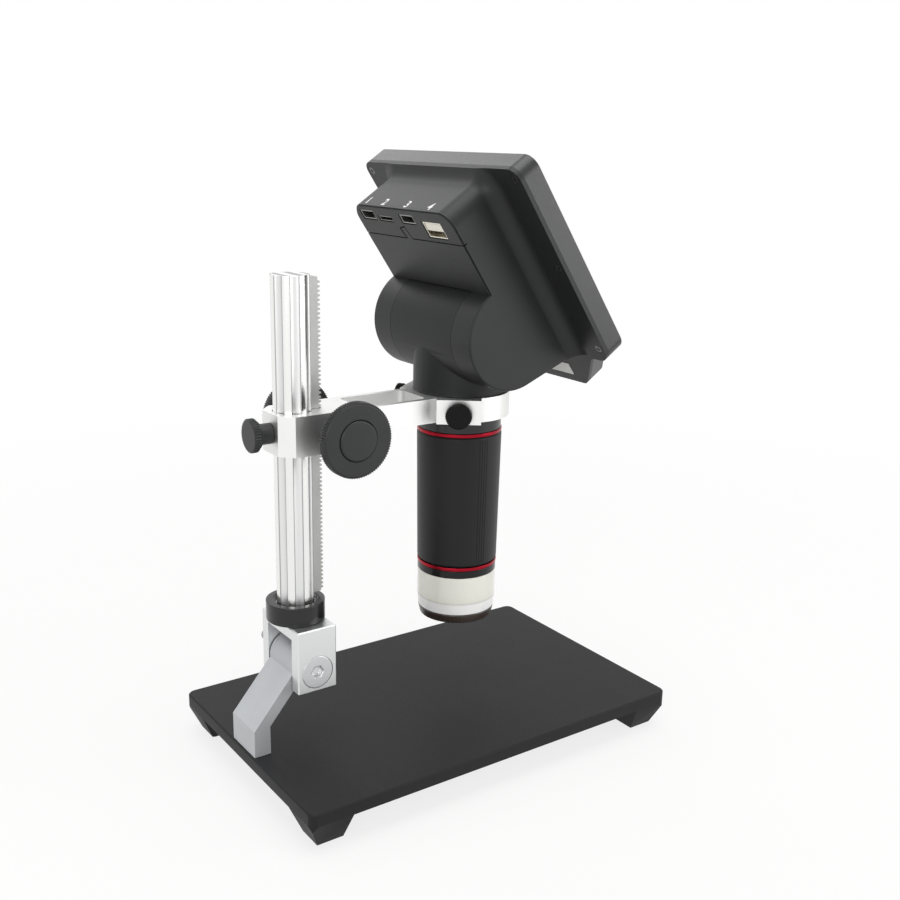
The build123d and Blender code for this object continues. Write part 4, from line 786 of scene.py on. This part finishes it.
def showing(tree):
    """1 for rays that show a surface: the camera's, and those that metal and glass send; 0 for the others."""
    path = put(tree, "ShaderNodeLightPath").outputs
    shown = put(tree, "ShaderNodeMath", {0: path["Is Camera Ray"], 1: path["Is Glossy Ray"]},
                operation="MAXIMUM")
    return put(tree, "ShaderNodeMath", {0: shown, 1: path["Is Transmission Ray"]}, operation="MAXIMUM")


# White paper: this share of what shows near the object is plain white, so that soft shadows stay on the rest,
# and farther away all of it is. The distances are in metres.
WHITE_NEAR = 0.8
FADE_FROM, FADE_TO = 0.16, 0.7
FLOOR_HALF, FLOOR_DROP = 6, 0.0002
paper = bpy.data.materials.new("white_paper_sweep")
paper.use_nodes = True
tree = paper.node_tree
tree.nodes.clear()
place = put(tree, "ShaderNodeTexCoord").outputs["Object"]
away = put(tree, "ShaderNodeVectorMath", {0: place}, operation="LENGTH")
fade = put(tree, "ShaderNodeMapRange", {"Value": away.outputs["Value"], "From Min": FADE_FROM,
                                        "From Max": FADE_TO, "To Min": WHITE_NEAR, "To Max": 1.0})
matt = put(tree, "ShaderNodeBsdfDiffuse", {"Color": linear("#f4f4f2")})
part = put(tree, "ShaderNodeMath", {0: showing(tree), 1: fade}, operation="MULTIPLY")
mixed = put(tree, "ShaderNodeMixShader", {0: part, 1: matt, 2: put(tree, "ShaderNodeEmission")})
put(tree, "ShaderNodeOutputMaterial", {"Surface": mixed})

floor = bpy.data.meshes.new("floor")
corners = [(x * FLOOR_HALF, y * FLOOR_HALF, 0) for x, y in ((-1, -1), (1, -1), (1, 1), (-1, 1))]
floor.from_pydata(corners, [], [(0, 1, 2, 3)])
floor.materials.append(paper)
ground_sheet = bpy.data.objects.new("floor", floor)
scene.collection.objects.link(ground_sheet)
ground_sheet.location.z = -FLOOR_DROP

# A white room that shows at full strength and lights the object with less.
AMBIENT = 0.35
world = bpy.data.worlds.new("studio")
scene.world = world
world.use_nodes = True
tree = world.node_tree
tree.nodes.clear()
ambient = put(tree, "ShaderNodeBackground", {"Color": (1, 1, 1, 1), "Strength": AMBIENT})
backdrop = put(tree, "ShaderNodeBackground", {"Color": (1, 1, 1, 1), "Strength": 1.0})
mixed = put(tree, "ShaderNodeMixShader", {0: showing(tree), 1: ambient, 2: backdrop})
put(tree, "ShaderNodeOutputWorld", {"Surface": mixed})

# The lamps look at the middle of the object.
LOOK_AT = Vector((0, 0, 0.12))


def softbox(name, at, width, height, power):
    """A large rectangular lamp, in metres and watts."""
    lamp = bpy.data.lights.new(name, "AREA")
    lamp.shape = "RECTANGLE"
    lamp.size = width
    lamp.size_y = height
    lamp.energy = power
    holder = bpy.data.objects.new(name, lamp)
    scene.collection.objects.link(holder)
    holder.location = at
    holder.rotation_euler = (LOOK_AT - Vector(at)).to_track_quat("-Z", "Y").to_euler()


softbox("overhead_softbox", at=(0.0, -0.1, 1.1), width=1.0, height=0.8, power=7)
softbox("back_softbox", at=(-0.05, 1.0, 1.0), width=0.9, height=0.6, power=2.2)
softbox("left_softbox", at=(-1.0, -0.9, 0.6), width=0.6, height=0.8, power=4.6)
softbox("right_softbox", at=(0.9, -0.9, 0.3), width=0.6, height=0.9, power=5.6)


def aim(camera, location, azimuth, elevation, roll):
    """Point a camera as from an azimuth and elevation in degrees, with a slight roll."""
    a, e = radians(azimuth), radians(elevation)
    back = Vector((sin(a) * cos(e), -cos(a) * cos(e), sin(e)))
    right = Vector((0, 0, 1)).cross(back).normalized()
    turn = Matrix((right, back.cross(right), back)).transposed() @ Matrix.Rotation(radians(roll), 3, "Z")
    camera.matrix_world = Matrix.Translation(location) @ turn.to_4x4()


lens = bpy.data.cameras.new("camera")
lens.lens = 45.3
lens.sensor_width = 36.0
camera = bpy.data.objects.new("camera", lens)
scene.collection.objects.link(camera)
aim(camera, location=(-0.2877, -0.4195, 0.2825), azimuth=-35.37, elevation=15.34, roll=1.13)
scene.camera = camera
